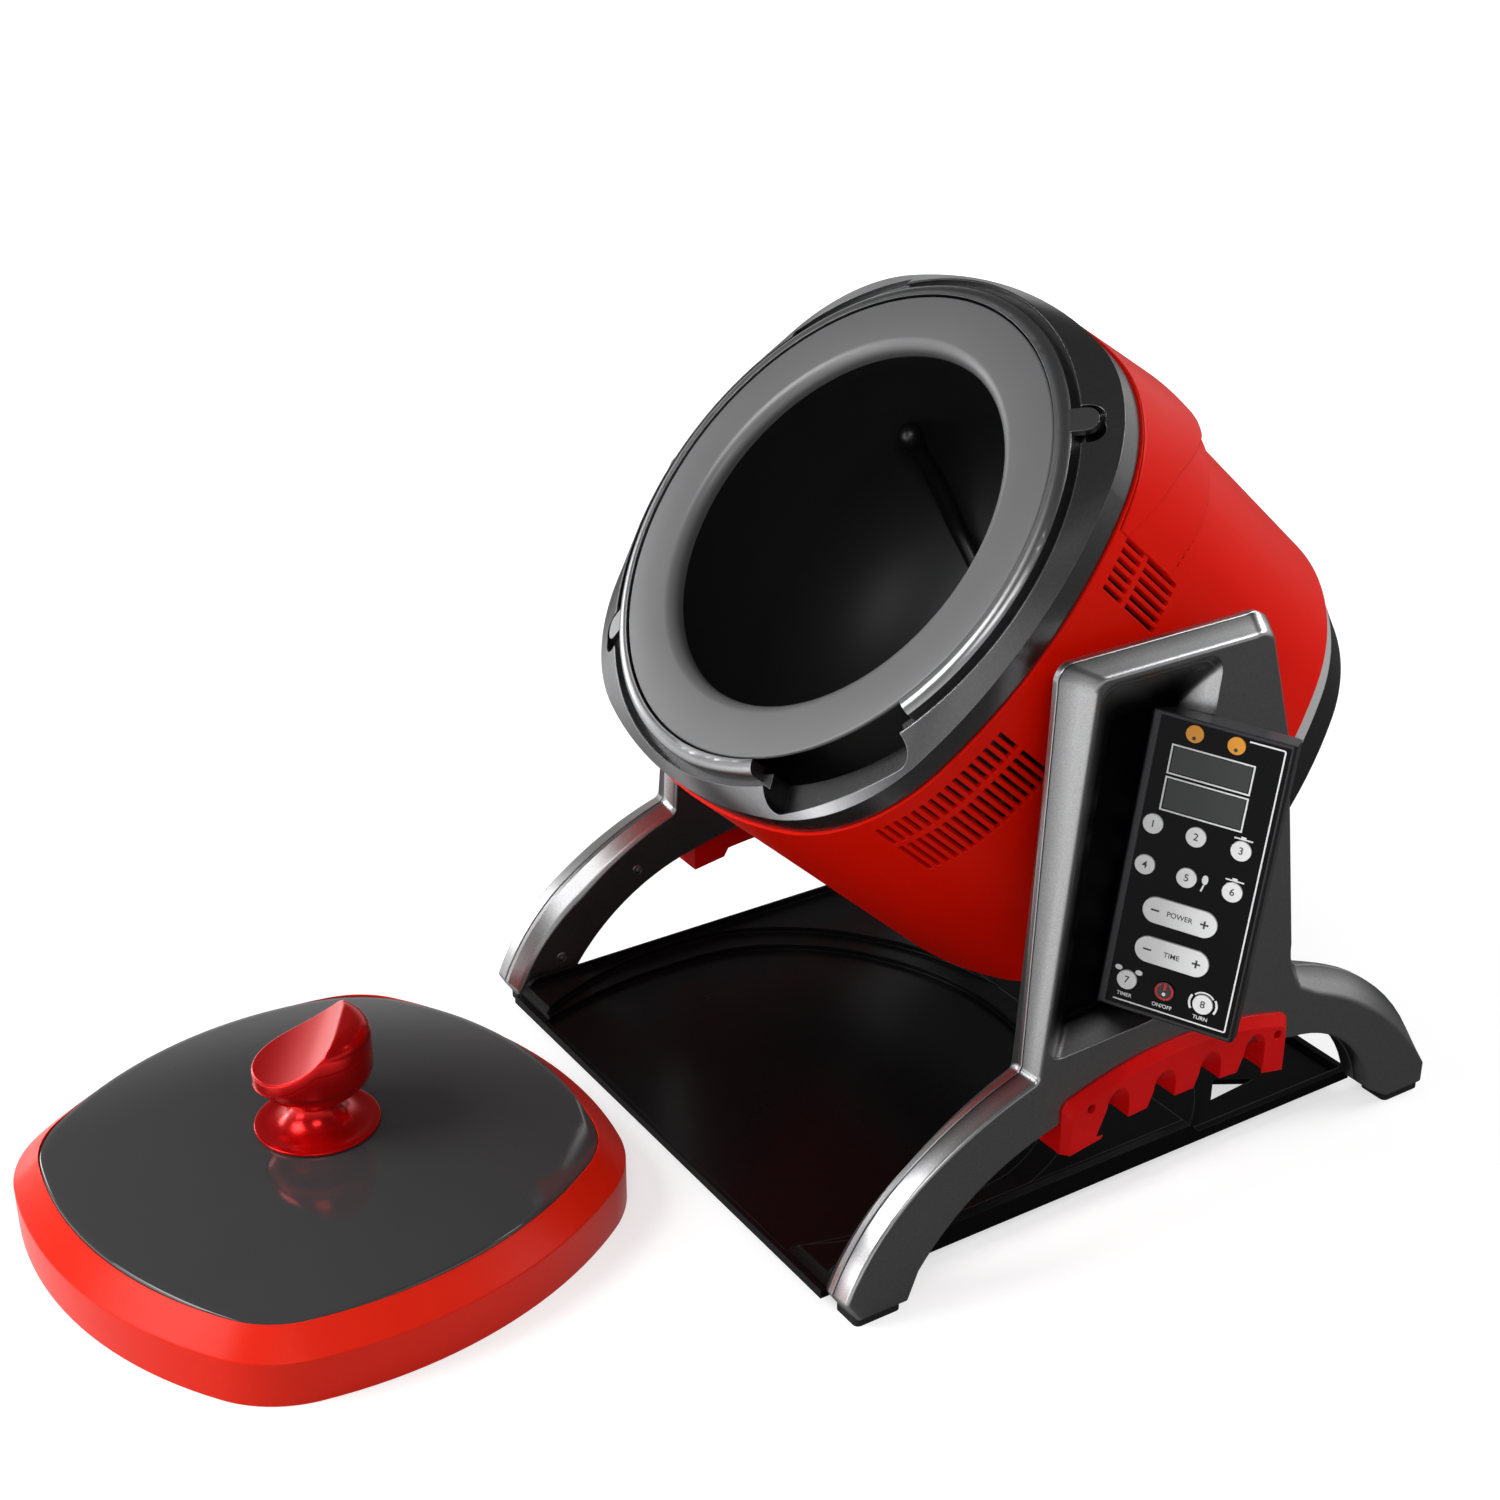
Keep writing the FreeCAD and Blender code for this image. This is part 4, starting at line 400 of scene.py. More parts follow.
def arc_through(start, through, end, steps):
    """Points from start to end on the circle through three points, without the start."""
    a, b, c = Vector(start), Vector(through), Vector(end)
    far = [corner.length_squared for corner in (a, b, c)]
    turn = 2.0 * (a.x * (b.y - c.y) + b.x * (c.y - a.y) + c.x * (a.y - b.y))
    x = (far[0] * (b.y - c.y) + far[1] * (c.y - a.y) + far[2] * (a.y - b.y)) / turn
    y = (far[0] * (c.x - b.x) + far[1] * (a.x - c.x) + far[2] * (b.x - a.x)) / turn
    centre = Vector((x, y))
    first = math.atan2(a.y - y, a.x - x)
    sweep = (math.atan2(c.y - y, c.x - x) - first) % FULL_TURN
    if (math.atan2(b.y - y, b.x - x) - first) % FULL_TURN > sweep:
        sweep -= FULL_TURN
    radius = (a - centre).length
    return [centre + Vector(polar(radius, first + sweep * step / steps)) for step in range(1, steps + 1)]


def rounding(radius, steps):
    """A rounded edge: how far each of its points lies in from the corner, along one side and the other."""
    leans = [math.pi / 2 * step / steps for step in range(steps + 1)]
    return [(radius * (1.0 - math.sin(lean)), radius * (1.0 - math.cos(lean))) for lean in leans]


def revolved(form, profile, count):
    """Full turn of a closed profile of radius and height about Z."""
    rows = []
    for angle in turns(count):
        rows.append([(*polar(point[0], angle), point[1]) for point in profile])
    form.skin(rows, looped=True)


def square_radius(turn, half, corner, radius):
    """Distance from the middle to a rounded square with bulging sides, in a direction."""
    turn = abs((turn + FULL_TURN / 8) % (FULL_TURN / 4) - FULL_TURN / 8)
    offset = (corner - radius) / math.sqrt(2.0)
    side = ((half - offset) ** 2 + offset ** 2 - radius ** 2) / (2.0 * (half - offset - radius))
    lean = Vector((offset - half + side, offset)).normalized()
    if turn < math.atan2(side * lean.y, half - side + side * lean.x):
        centre, reach = Vector((half - side, 0.0)), side
    else:
        centre, reach = Vector((offset, offset)), radius
    ray = Vector(polar(1.0, turn))
    along = ray.dot(centre)
    return along + math.sqrt(along ** 2 - centre.length_squared + reach ** 2)


# Pieces

def dress(piece, paint, *nodes, replace=True):
    """Gives a piece its paint and lets it stand for its nodes, or ride beside them."""
    piece.data.materials.clear()
    piece.data.materials.append(paints[paint].material)
    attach(piece, node_bodies[nodes[0]])
    if replace:
        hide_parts(*nodes)
    return piece


def baked(piece):
    """The piece's mesh with its modifiers applied, and the modifiers removed."""
    graph = bpy.context.evaluated_depsgraph_get()
    finished = bpy.data.meshes.new_from_object(piece.evaluated_get(graph))
    piece.modifiers.clear()
    piece.data = finished
    return piece


def weighted(piece):
    """The piece shaded by the size of its faces, so that its flat faces look flat."""
    piece.modifiers.new("shading", "WEIGHTED_NORMAL").keep_sharp = True
    return baked(piece)


weld_reach = 0.05
flat_angle = math.radians(0.3)


def merged_copy(node):
    """Copy of a CAD node's surface, its points merged and its flat faces joined."""
    mesh = bmesh.new()
    mesh.from_mesh(frame["nodes"][node].data)
    bmesh.ops.remove_doubles(mesh, verts=mesh.verts, dist=weld_reach * MM)
    bmesh.ops.dissolve_degenerate(mesh, edges=mesh.edges, dist=weld_reach * MM)
    bmesh.ops.dissolve_limit(mesh, angle_limit=flat_angle, verts=mesh.verts, edges=mesh.edges)
    data = bpy.data.meshes.new(node + "_eased")
    mesh.to_mesh(data)
    mesh.free()
    if "custom_normal" in data.attributes:
        data.attributes.remove(data.attributes["custom_normal"])
    data.shade_smooth()
    return added(node + "_eased", data)


def with_eased_edges(node, width):
    """Stands for a CAD node, with each sharp edge rounded by a width."""
    piece = merged_copy(node)
    edge = piece.modifiers.new("edge", "BEVEL")
    edge.width = width * MM
    edge.segments = 3
    edge.limit_method = "ANGLE"
    edge.angle_limit = math.radians(30.0)
    edge.use_clamp_overlap = False
    edge.loop_slide = False
    return dress(weighted(piece), node_slots[node], node)


# Drum: casing pieces with eased edges

for node, width in (("drum_shell", 0.35), ("rear_band", 0.5), ("rear_cap", 0.6), ("lid_rim", 0.7)):
    with_eased_edges(node, width)


# Pot: rolled rim, deep bowl and the stirring rib

lip_radius = 98.0
lip_depth = 8.5
flange_inner = 104.0
flange_outer = 127.1
rim_sheet = 2.5
shoulder = (113.0, -44.0)
shoulder_lean = math.radians(14.0)
belly = (119.0, -88.0)
heel = (109.0, -136.0)
heel_lean = math.radians(-34.0)
floor_edge = (72.0, -168.0)
floor_slope = (36.0, -170.9)
floor_middle = (0.0, -172.0)


def make_pot_rim():
    """Flat flange whose inner edge rolls down into the bowl."""
    roll = arc_through((flange_inner, 0.0), (99.7, -2.2), (lip_radius, -7.0), 10)
    back = arc_through((lip_radius + rim_sheet, -6.0), (101.8, -3.5), (flange_inner + 1.0, -rim_sheet), 8)
    outer = eased([(flange_inner + 1.0, -rim_sheet), (flange_outer, -rim_sheet, 1.0),
                   (flange_outer, 0.0, 1.0), (flange_inner, 0.0)], closed=False)
    profile = [*roll, (lip_radius, -lip_depth), (lip_radius + rim_sheet, -lip_depth),
               (lip_radius + rim_sheet, -6.0), *back[:-1], *outer]
    form = Form()
    revolved(form, profile, 192)
    dress(form.object("pot_rim_rolled", drum_place), "rim_aluminium", "pot_rim")


def bowl_wall(outward):
    """Profile of the bowl's wall from lip to floor, moved outward by the sheet's thickness."""
    low_side = Vector(belly) + Vector((outward, 0.0))
    upper = Vector(shoulder) + Vector(polar(outward, shoulder_lean))
    lower = Vector(heel) + Vector(polar(outward, heel_lean))
    below = Vector((0.0, outward))
    edge, slope, bottom = [Vector(place) - below for place in (floor_edge, floor_slope, floor_middle)]
    wall = [Vector((lip_radius + outward, -lip_depth))]
    wall += arc_through(wall[0], upper, low_side, 14) + arc_through(low_side, lower, edge, 18)
    return wall + [slope, bottom]


def make_pot_bowl():
    form = Form()
    revolved(form, bowl_wall(0.0) + bowl_wall(rim_sheet)[::-1], 160)
    dress(form.object("pot_bowl_spun", drum_place), "pot_coating", "pot_bowl", "pot_neck")


rib_radius = 5.0
rib_ball_radius = 6.8

# The rib's line, as distance from the pot's axis, angle round it, and height over the mouth
rib_line = ((110.5, 138.3, -80.0), (108.5, 142.3, -113.0), (97.0, 146.3, -142.0), (80.0, 148.0, -159.0),
            (62.0, 149.0, -166.0))


def along(places, share):
    """A place on the smooth curve through a list of places."""
    spot = share * (len(places) - 1)
    first = min(int(spot), len(places) - 2)
    t = spot - first
    last = len(places) - 1
    before, start, end, after = [places[min(max(first + step, 0), last)] for step in (-1, 0, 1, 2)]
    return (start * 2.0 + (end - before) * t + (before * 2.0 - start * 5.0 + end * 4.0 - after) * t * t
            + (start * 3.0 - before - end * 3.0 + after) * t * t * t) / 2.0


def make_stirring_rib():
    """Smooth rib up the bowl's wall, swelling to a ball at its upper end."""
    places = [Vector((*polar(radius, math.radians(angle)), depth)) for radius, angle, depth in rib_line]
    steps, sides, glance = 60, 24, 0.01
    rows = []
    for step in range(steps + 1):
        share = step / steps
        here = along(places, share)
        ahead = along(places, min(share + glance, 1.0)) - along(places, max(share - glance, 0.0))
        side = ahead.cross(Vector((0, 0, 1))).normalized()
        up = side.cross(ahead.normalized())
        gone = (here - places[0]).length
        swell = max(rib_ball_radius ** 2 - (gone - 1.0) ** 2, 0.0) ** 0.5
        radius = max(rib_radius, swell)
        ring = [polar(radius, angle) for angle in turns(sides)]
        rows.append([here + side * across + up * rise for across, rise in ring])
    centre = places[0]
    beyond = (centre - places[1]).normalized() * rib_ball_radius
    rounds = []
    for step in range(1, 6):
        near, far = polar(1.0, math.pi / 2 * step / 6)
        rounds.append([centre + (point - centre) * near + beyond * far for point in rows[0]])
    tip = centre + beyond
    form = Form()
    form.skin([[tip] * sides, *rounds[::-1], *rows, [along(places, 1.0)] * sides])
    dress(form.object("stirring_rib", drum_place), "rib_coating", "stirring_blade")


make_pot_rim()
make_pot_bowl()
make_stirring_rib()


# Lid: domed glass and the knob

lid_half = 139.0
lid_corner = 152.0
lid_corner_radius = 62.0
glass_inset = 13.55
glass_edge_height = 35.0
glass_dome = 14.0
dome_margin = 13.5
glass_bend = 1.2
glass_hole = 4.0
glass_thickness = 4.0
knob_foot = 49.05
knob_low = 68.1
foot_radius = 31.0
foot_top = (28.0, 1.5)
flare = (15.2, 4.9)
waist = (10.8, 12.0)
neck_bend = (12.0, 16.5)
neck_top = (16.8, 19.0)
lid_steps = 192


def dome_height(distance):
    """Height of the glass's top at a distance from its middle."""
    reach = lid_corner - dome_margin
    ball = (reach ** 2 + glass_dome ** 2) / (2.0 * glass_dome)
    return glass_edge_height + glass_dome - ball + math.sqrt(ball ** 2 - distance ** 2)


def glass_ring(share, drop):
    """One closed line round the glass, at a share of the way from the middle to its edge."""
    points = []
    outline = [size - glass_inset for size in (lid_half, lid_corner, lid_corner_radius)]
    for angle in turns(lid_steps):
        reach = square_radius(angle, *outline) * share
        points.append((*polar(reach, angle), dome_height(reach) - drop))
    return points


def make_lid_glass():
    """Domed pane with an eased edge and a small hole for the knob's screw."""
    rings = [glass_ring(step / 28.0, 0.0) for step in range(2, 28)]
    for back, drop in rounding(glass_bend, 4):
        rings.append(glass_ring(1.0 - back / lid_half, drop))
    rings.append(glass_ring(1.0, glass_thickness))
    rings += [glass_ring(step / 14.0, glass_thickness) for step in range(13, 0, -1)]
    for drop in (glass_thickness, 0.0):
        height = dome_height(glass_hole) - drop
        rings.append([(*polar(glass_hole, angle), height) for angle in turns(lid_steps)])
    form = Form()
    form.skin(rings, looped=True)
    dress(form.object("lid_glass_domed", lid_place), "lid_glass", "lid_glass")


def make_knob_stem():
    """Flared foot, slim waist and wide neck."""
    profile = [Vector((0.0, 0.0))]
    profile += eased([(0.0, 0.0), (foot_radius, 0.0), (foot_radius, 1.2, 0.55), foot_top], closed=False)[1:]
    profile += arc_through(foot_top, flare, waist, 14)
    profile += arc_through(waist, neck_bend, neck_top, 10)
    profile.append(Vector((0.0, neck_top[1])))
    form = Form()
    revolved(form, profile, 96)
    raised = lid_place @ Matrix.Translation((0.0, 0.0, knob_foot))
    dress(form.object("knob_stem_flared", raised), "knob_red", "knob_stem")


knob_radius = 29.6
knob_height = 39.0
knob_top_radius = 19.6
knob_brow_drop = 9.0
scoop_radius = 62.0
scoop_offset = 34.0
scoop_rise = 38.0
scoop_turn = math.radians(-45.0)
scoop_blend = 1.1
rim_bend = 1.3
groove_drop = 4.2
groove = ((0.0, 0.0), (0.3, 0.6), (0.9, 0.6), (1.2, 0.0))
chin_drop = 5.6
chin_top = 13.0
chin_bend = (25.6, 5.0)
chin_foot = (16.8, 0.0)


def knob_crown(radius):
    """Height of the knob's round top before the hollow is cut."""
    out = max(radius - knob_top_radius, 0.0) / (knob_radius - knob_top_radius)
    return knob_height - knob_brow_drop * (1.0 - math.sqrt(max(1.0 - out * out, 0.0)))


def knob_top(radius, angle):
    """Height of the knob's top, with the slanted hollow blended into the crown."""
    across = radius * math.sin(angle - scoop_turn) + scoop_offset
    crown = knob_crown(radius)
    if across >= scoop_radius:
        return crown
    hollow = knob_height + scoop_rise - math.sqrt(scoop_radius ** 2 - across ** 2)
    edge = max(radius - (knob_radius - rim_bend), 0.0)
    hollow -= rim_bend - math.sqrt(max(rim_bend ** 2 - edge ** 2, 0.0))
    gap = max(scoop_blend - abs(hollow - crown), 0.0) / scoop_blend
    return min(hollow, crown) - gap * gap * scoop_blend / 4.0


def make_knob_head():
    """Round head cut on a slant, with a hollow top, an eased rim and a fine groove under it."""
    count = 180
    radii = [knob_radius - rim_bend - (knob_radius - rim_bend) * step / 30.0 for step in range(30, 0, -1)]
    radii += [knob_radius - back for back, drop in rounding(rim_bend, 6)]
    rings = []
    for radius in radii:
        rings.append([(*polar(radius, angle), knob_top(radius, angle)) for angle in turns(count)])
    edges = [(angle, knob_top(knob_radius, angle)) for angle in turns(count)]
    for drop, depth in groove:
        rings.append([(*polar(knob_radius - depth, angle), edge - (groove_drop + drop))
                      for angle, edge in edges])
    chin = [Vector((knob_radius, chin_top))]
    chin += arc_through(chin[0], chin_bend, chin_foot, 14)
    for point in chin:
        rings.append([(*polar(point.x, angle), min(point.y, edge - chin_drop)) for angle, edge in edges])
    form = Form()
    form.skin([[(0.0, 0.0, knob_top(0.0, 0.0))] * count, *rings, [(0.0, 0.0, 0.0)] * count])
    raised = lid_place @ Matrix.Translation((0.0, 0.0, knob_low))
    dress(form.object("knob_head_hollow", raised), "knob_red", "knob_head")


make_lid_glass()
make_knob_stem()
make_knob_head()


# Console: print on the face

print_depth = 0.06
overlay_right = 63.2
overlay_top = 1.0
overlay_low = 143.6
border_start = 46.5
border_end = 8.0
border_width = 0.75
corner_cut = 0.8
corner_round = 0.2
key_places = {"key_one": (10.6, 52.0), "key_two": (31.5, 52.6), "key_three": (53.0, 53.0),
              "key_four": (10.6, 72.8), "key_five": (31.0, 73.4), "key_six": (53.0, 73.8),
              "key_timer": (13.0, 132.4), "key_on_off": (31.7, 132.4), "key_turn": (50.6, 133.0)}
bar_places = {"power_bar": (31.7, 93.5), "time_bar": (31.7, 113.9)}
lamp_places = ((21.4, 6.3), (41.1, 6.5))
button_height = 0.8
lamp_height = 0.5
letter_weight = 0.012

caption_down = 140.4

# The frames round the display's windows, as how far down the face, and half the height
display_middle = 31.7
display_half = 19.4
display_frames = ((18.9, 7.0), (36.0, 8.1))


def ribbon(form, path, width, height, closed=False):
    """Flat line of print along a path across and down the face, at a height over it."""
    points = [Vector((across, -down)) for across, down in path]
    rows = []
    for place, here in enumerate(points):
        before = points[place - 1] if place or closed else here
        after = points[(place + 1) % len(points)] if place < len(points) - 1 or closed else here
        into = (here - before).normalized() if before != here else (after - here).normalized()
        out = (after - here).normalized() if after != here else into
        middle_way = (into + out).normalized()
        side = Vector((-middle_way.y, middle_way.x)) * (width / 2.0 / max(middle_way.dot(into), 0.5))
        rows.append([(*(here + side), height), (*(here + side), height + print_depth),
                     (*(here - side), height + print_depth), (*(here - side), height)])
    made = form.skin(rows, looped=closed)
    if not closed:
        form.cap(made[0])
        form.cap(made[-1][::-1])


def round_line(across, down, radius, first, last, steps=28):
    """Points on an arc over the face, its angles counted from the right and up."""
    angles = [math.radians(first + (last - first) * step / steps) for step in range(steps + 1)]
    return [(across + radius * math.cos(angle), down - radius * math.sin(angle)) for angle in angles]


def spot(form, across, down, width, length, height, count=28):
    """Oval of print."""
    ring = [(across + width / 2.0 * math.cos(a), -down + length / 2.0 * math.sin(a)) for a in turns(count)]
    made = form.skin([[(*point, level) for point in ring] for level in (height, height + print_depth)])
    form.cap(made[0][::-1])
    form.cap(made[-1])


def lettering(form, text, across, down, size, height):
    """Upright sign or word, centred on a place over the face."""
    data = bpy.data.curves.new("lettering", "FONT")
    data.body = text
    data.size = size
    data.align_x = "CENTER"
    data.align_y = "CENTER"
    data.offset = size * letter_weight
    data.extrude = print_depth / 2.0
    holder = added("lettering", data)
    graph = bpy.context.evaluated_depsgraph_get()
    made = bpy.data.meshes.new_from_object(holder.evaluated_get(graph))
    made.transform(Matrix.Translation((across, -down, height + print_depth / 2.0)))
    form.mesh.from_mesh(made)
    bpy.data.objects.remove(holder)
    bpy.data.curves.remove(data)


def printed(form, name, paint, node):
    dress(form.object(name, face_place), paint, node, replace=False)


def make_face_print():
    """White border, frames round the windows, marks beside the keys, and captions."""
    form = Form()
    right, low = overlay_right, overlay_low
    border = [(border_start, overlay_top), (right - corner_cut, overlay_top),
              (right - corner_round, overlay_top + corner_round), (right, overlay_top + corner_cut),
              (right, low - corner_cut), (right - corner_round, low - corner_round),
              (right - corner_cut, low), (border_end, low)]
    ribbon(form, border, border_width, 0.0)
    left, right = display_middle - display_half, display_middle + display_half
    for down, half in display_frames:
        top, low = down - half, down + half
        ribbon(form, [(left, top), (right, top), (right, low), (left, low)], 0.8, 0.0, closed=True)
    for across, down in (key_places["key_three"], key_places["key_six"]):
        ribbon(form, [(across - 4.4, down - 5.6), (across + 4.4, down - 5.6)], 0.7, 0.0)
        ribbon(form, [(across - 1.2, down - 6.4), (across + 1.2, down - 6.4)], 0.9, 0.0)
    across, down = key_places["key_five"]
    spot(form, across + 8.6, down - 1.4, 3.0, 4.8, 0.0)
    ribbon(form, [(across + 8.4, down + 1.2), (across + 7.6, down + 4.6)], 0.8, 0.0)
    across, down = key_places["key_timer"]
    for side in (-1, 1):
        spot(form, across + side * 5.0, down - 5.0, 3.6, 2.6, 0.0)
    across, down = key_places["key_turn"]
    for side in (0, 180):
        ribbon(form, round_line(across, down, 6.6, side - 30, side + 34, 12), 1.1, 0.0)
    ribbon(form, round_line(across, down, 5.9, 40, 140, 16), 0.8, 0.0)
    for node, text in (("key_timer", "TIMER"), ("key_on_off", "ON/OFF"), ("key_turn", "TURN")):
        lettering(form, text, key_places[node][0], caption_down, 2.7, 0.0)
    printed(form, "face_print", "print_white", "console_overlay")


def make_key_print():
    """Figures on the keys."""
    numbered = [node for node in key_places if node != "key_on_off"]
    for figure, node in enumerate(numbered, 1):
        form = Form()
        across, down = key_places[node]
        lettering(form, str(figure), across, down, 5.0, button_height)
        printed(form, node + "_print", "print_dark", node)


def make_power_sign():
    """Red ring with a stroke through its gap."""
    across, down = key_places["key_on_off"]
    form = Form()
    ribbon(form, round_line(across, down, 4.0, 122.0, 418.0, 44), 0.95, button_height)
    ribbon(form, [(across, down - 4.6), (across, down - 0.6)], 1.1, button_height)
    printed(form, "power_sign", "print_red", "key_on_off")
    form = Form()
    spot(form, across, down + 1.4, 1.8, 1.8, button_height)
    printed(form, "power_lamp", "print_white", "key_on_off")


def make_bar_print():
    for node, word in (("power_bar", "POWER"), ("time_bar", "TIME")):
        across, down = bar_places[node]
        form = Form()
        ribbon(form, [(across - 14.0, down), (across - 10.0, down)], 0.9, button_height)
        ribbon(form, [(across + 10.0, down), (across + 14.0, down)], 0.9, button_height)
        ribbon(form, [(across + 12.0, down - 2.0), (across + 12.0, down + 2.0)], 0.9, button_height)
        lettering(form, word, across, down + 0.2, 3.6, button_height)
        printed(form, node + "_print", "print_dark", node)


def make_lamp_dots():
    form = Form()
    for across, down in lamp_places:
        spot(form, across, down, 1.8, 1.8, lamp_height)
    printed(form, "lamp_dots", "display_grey", "indicator_lamps")


make_face_print()
make_key_print()
make_power_sign()
make_bar_print()
make_lamp_dots()


# Screws: one head, copied to its places by geometry nodes

head_rise = 0.25
frame_screw_radius = 3.2
grip_screw_radius = 2.4
cap_screw_radius = 4.0


def screw_head(radius, rise):
    """Domed head with a six-sided socket."""
    sides = 36
    half_side = FULL_TURN / 12
    rows = []
    for share, height in ((1.0, -1.0), (1.0, rise * 0.3), (0.94, rise * 0.62), (0.8, rise * 0.88)):
        rows.append([(*polar(radius * share, angle), height) for angle in turns(sides)])
    for share, height in ((0.46, rise), (0.43, rise - 1.3)):
        socket = []
        for angle in turns(sides):
            reach = radius * share / math.cos((angle + half_side) % (2.0 * half_side) - half_side)
            socket.append((*polar(reach, angle), height))
        rows.append(socket)
    form = Form()
    form.skin([[(0.0, 0.0, -1.0)] * sides, *rows, [(0.0, 0.0, rise - 1.6)] * sides])
    return form.object("screw_head", Matrix.Identity(4))


def copying_tree(head, paint):
    """Tree that sets a head on each point, turned to the way the point faces, and gives it its paint."""
    tree = bpy.data.node_groups.new("screw_rows", "GeometryNodeTree")
    for name, way in (("Places", "INPUT"), ("Screws", "OUTPUT")):
        tree.interface.new_socket(name, in_out=way, socket_type="NodeSocketGeometry")
    net = Network(tree, "")
    places = net.node("NodeGroupInput", {}, {}, "Places")
    source = net.node("GeometryNodeObjectInfo", {}, {"Object": head}, "Geometry")
    settings, inputs = {"data_type": "FLOAT_VECTOR"}, {"Name": "facing"}
    facing = net.node("GeometryNodeInputNamedAttribute", settings, inputs, "Attribute")
    turn = net.node("FunctionNodeAlignRotationToVector", {"axis": "Z"}, {"Vector": facing})
    inputs = {"Points": places, "Instance": source, "Rotation": turn}
    copies = net.node("GeometryNodeInstanceOnPoints", {}, inputs)
    solid = net.node("GeometryNodeRealizeInstances", {}, {0: copies})
    cover = net.node("GeometryNodeSetMaterial", {}, {"Geometry": solid, "Material": paint.material})
    net.feed(tree.nodes.new("NodeGroupOutput").inputs["Screws"], cover)
    return tree


def screws(node, radius, places, paint="steel"):
    """Stands for a node of screws. A place is a point in the machine and the way its head faces."""
    data = bpy.data.meshes.new(node + "_heads")
    data.from_pydata([Vector(place) * MM for place, facing in places], [], [])
    ways = data.attributes.new("facing", "FLOAT_VECTOR", "POINT")
    ways.data.foreach_set("vector", [part for place, facing in places for part in facing])
    piece = added(node + "_heads", data)
    head = screw_head(radius, radius * head_rise)
    tree = copying_tree(head, paints[paint])
    piece.modifiers.new("rows", "NODES").node_group = tree
    baked(piece)
    piece.data.shade_smooth()
    piece.data.set_sharp_from_angle(angle=sharp_angle)
    bpy.data.objects.remove(head)
    bpy.data.node_groups.remove(tree)
    dress(piece, paint, node)


def both_sides(x, facing, places):
    """Places at the same distance to the left and right, facing outward with 1 or inward with -1."""
    return [((side * x, y, z), (side * facing, 0.0, 0.0)) for side in (-1, 1) for y, z in places]


frame_inner = 155.0
frame_screw_places = ((-112.0, 69.0), (-163.0, 27.0), (112.0, 70.0), (158.0, 34.0))
frame_screw_sink = 0.9
grip_outer = 181.0
grip_screw_places = ((-56.5, 78.3), (64.3, 78.4))
grip_screw_sink = 3.2
cap_screw_circle = 84.0
cap_screw_depth = 262.6
cap_screw_places = [drum_place @ Vector((*polar(cap_screw_circle, FULL_TURN / 8 + turn), -cap_screw_depth))
                    for turn in turns(4)]
frame_screws = both_sides(frame_inner + frame_screw_sink, -1, frame_screw_places)
grip_screws = both_sides(grip_outer - grip_screw_sink, 1, grip_screw_places)
screws("frame_screws", frame_screw_radius, frame_screws)
screws("grip_screws", grip_screw_radius, grip_screws, "cap_black")
screws("rear_cap_screws", cap_screw_radius, [(place, -mouth_axis) for place in cap_screw_places])


# Side frames: two half shells on each side, with rounded edges and a seam between them

frame_seam = 165.0
frame_outer = 176.0
inner_bevel_start = 162.0
shell_wall = 2.5
face_round = 1.8
foot_sole = 4.0
bush_bore = 12.55
bush_boss = 14.5
arc_fineness = 400
sole_rounding = 1.5
toe_rounding = 3.0
heel_rounding = 2.0
tower_rounding = 4.0

# Outlines as Y and Z: a corner, or the middle and the end of an arc
seam_arch = ((-187.0, foot_sole), (-195.0, 16.0), ((-177.0, 47.0), (-148.0, 73.5)),
             ((-97.0, 100.0), (-40.0, 112.0)), ((24.0, 114.0), (88.0, 103.0)),
             ((151.0, 69.0), (187.0, 16.0)), (186.0, foot_sole))
outer_arch = ((-186.0, foot_sole), (-194.0, 16.0), ((-176.0, 46.0), (-147.5, 72.0)),
              ((-97.0, 97.5), (-40.0, 109.0)), ((24.0, 110.0), (84.0, 94.5)),
              ((146.0, 59.5), (184.5, 16.0)), (184.5, foot_sole))
inner_arch = ((-184.0, foot_sole), (-191.5, 12.0), ((-174.5, 40.0), (-148.5, 63.0)),
              ((-101.0, 93.0), (-40.0, 110.0)), ((24.0, 112.0), (87.0, 101.0)),
              ((149.0, 67.5), (185.0, 16.0)), (184.0, foot_sole))
seam_tower = ((-88.5, 106.0), (-80.5, 299.0), ((-78.3, 306.4), (-71.5, 309.0)), (30.0, 309.0),
              ((40.0, 307.0), (44.0, 300.0)), (58.0, 245.0), (75.0, 128.0), ((79.0, 113.0), (92.0, 101.0)))
outer_tower = ((-85.8, 106.0), (-66.8, 296.5), ((-65.2, 301.0), (-60.5, 303.0)), (27.0, 303.0),
               ((36.5, 301.2), (40.0, 294.5)), (55.5, 243.0), (73.0, 126.0), ((76.5, 108.0), (86.0, 94.0)))
inner_tower = ((-86.5, 106.0), (-73.6, 296.5), ((-71.8, 303.4), (-66.0, 305.5)), (29.0, 305.5),
               ((38.4, 303.8), (42.0, 297.5)), (57.0, 244.0), (74.5, 127.0), ((78.5, 112.0), (91.0, 100.0)))
arch_start = (-158.0, foot_sole)
arch_underside = ((158.0, foot_sole), (143.0, 14.0), ((121.0, 51.0), (80.0, 68.0)),
                  ((0.0, 80.0), (-80.0, 69.0)), ((-122.0, 49.0), (-152.0, 19.0)))
window = ((-63.2, 299.0), (8.0, 299.0), (-12.0, 113.0), (-82.4, 110.0))
window_floor = ((-45.5, 276.0), (-6.0, 276.0), (-24.0, 121.0), (-64.0, 118.5))
window_rounding = 9.0
floor_rounding = 7.0
recess_floor = 160.3
recess_bends = (1.0, 3.0)
recess_sheet = 1.0
floor_sheet = 2.0
# The painted shade in the console's recess is full at the first distance off the middle plane and gone at the
# second.
shade_full_below = recess_floor + 2.0
shade_none_above = recess_floor + 11.0
panel_depth = 1.0
panel_bends = (0.4, 0.3)
screw_hole = 3.25

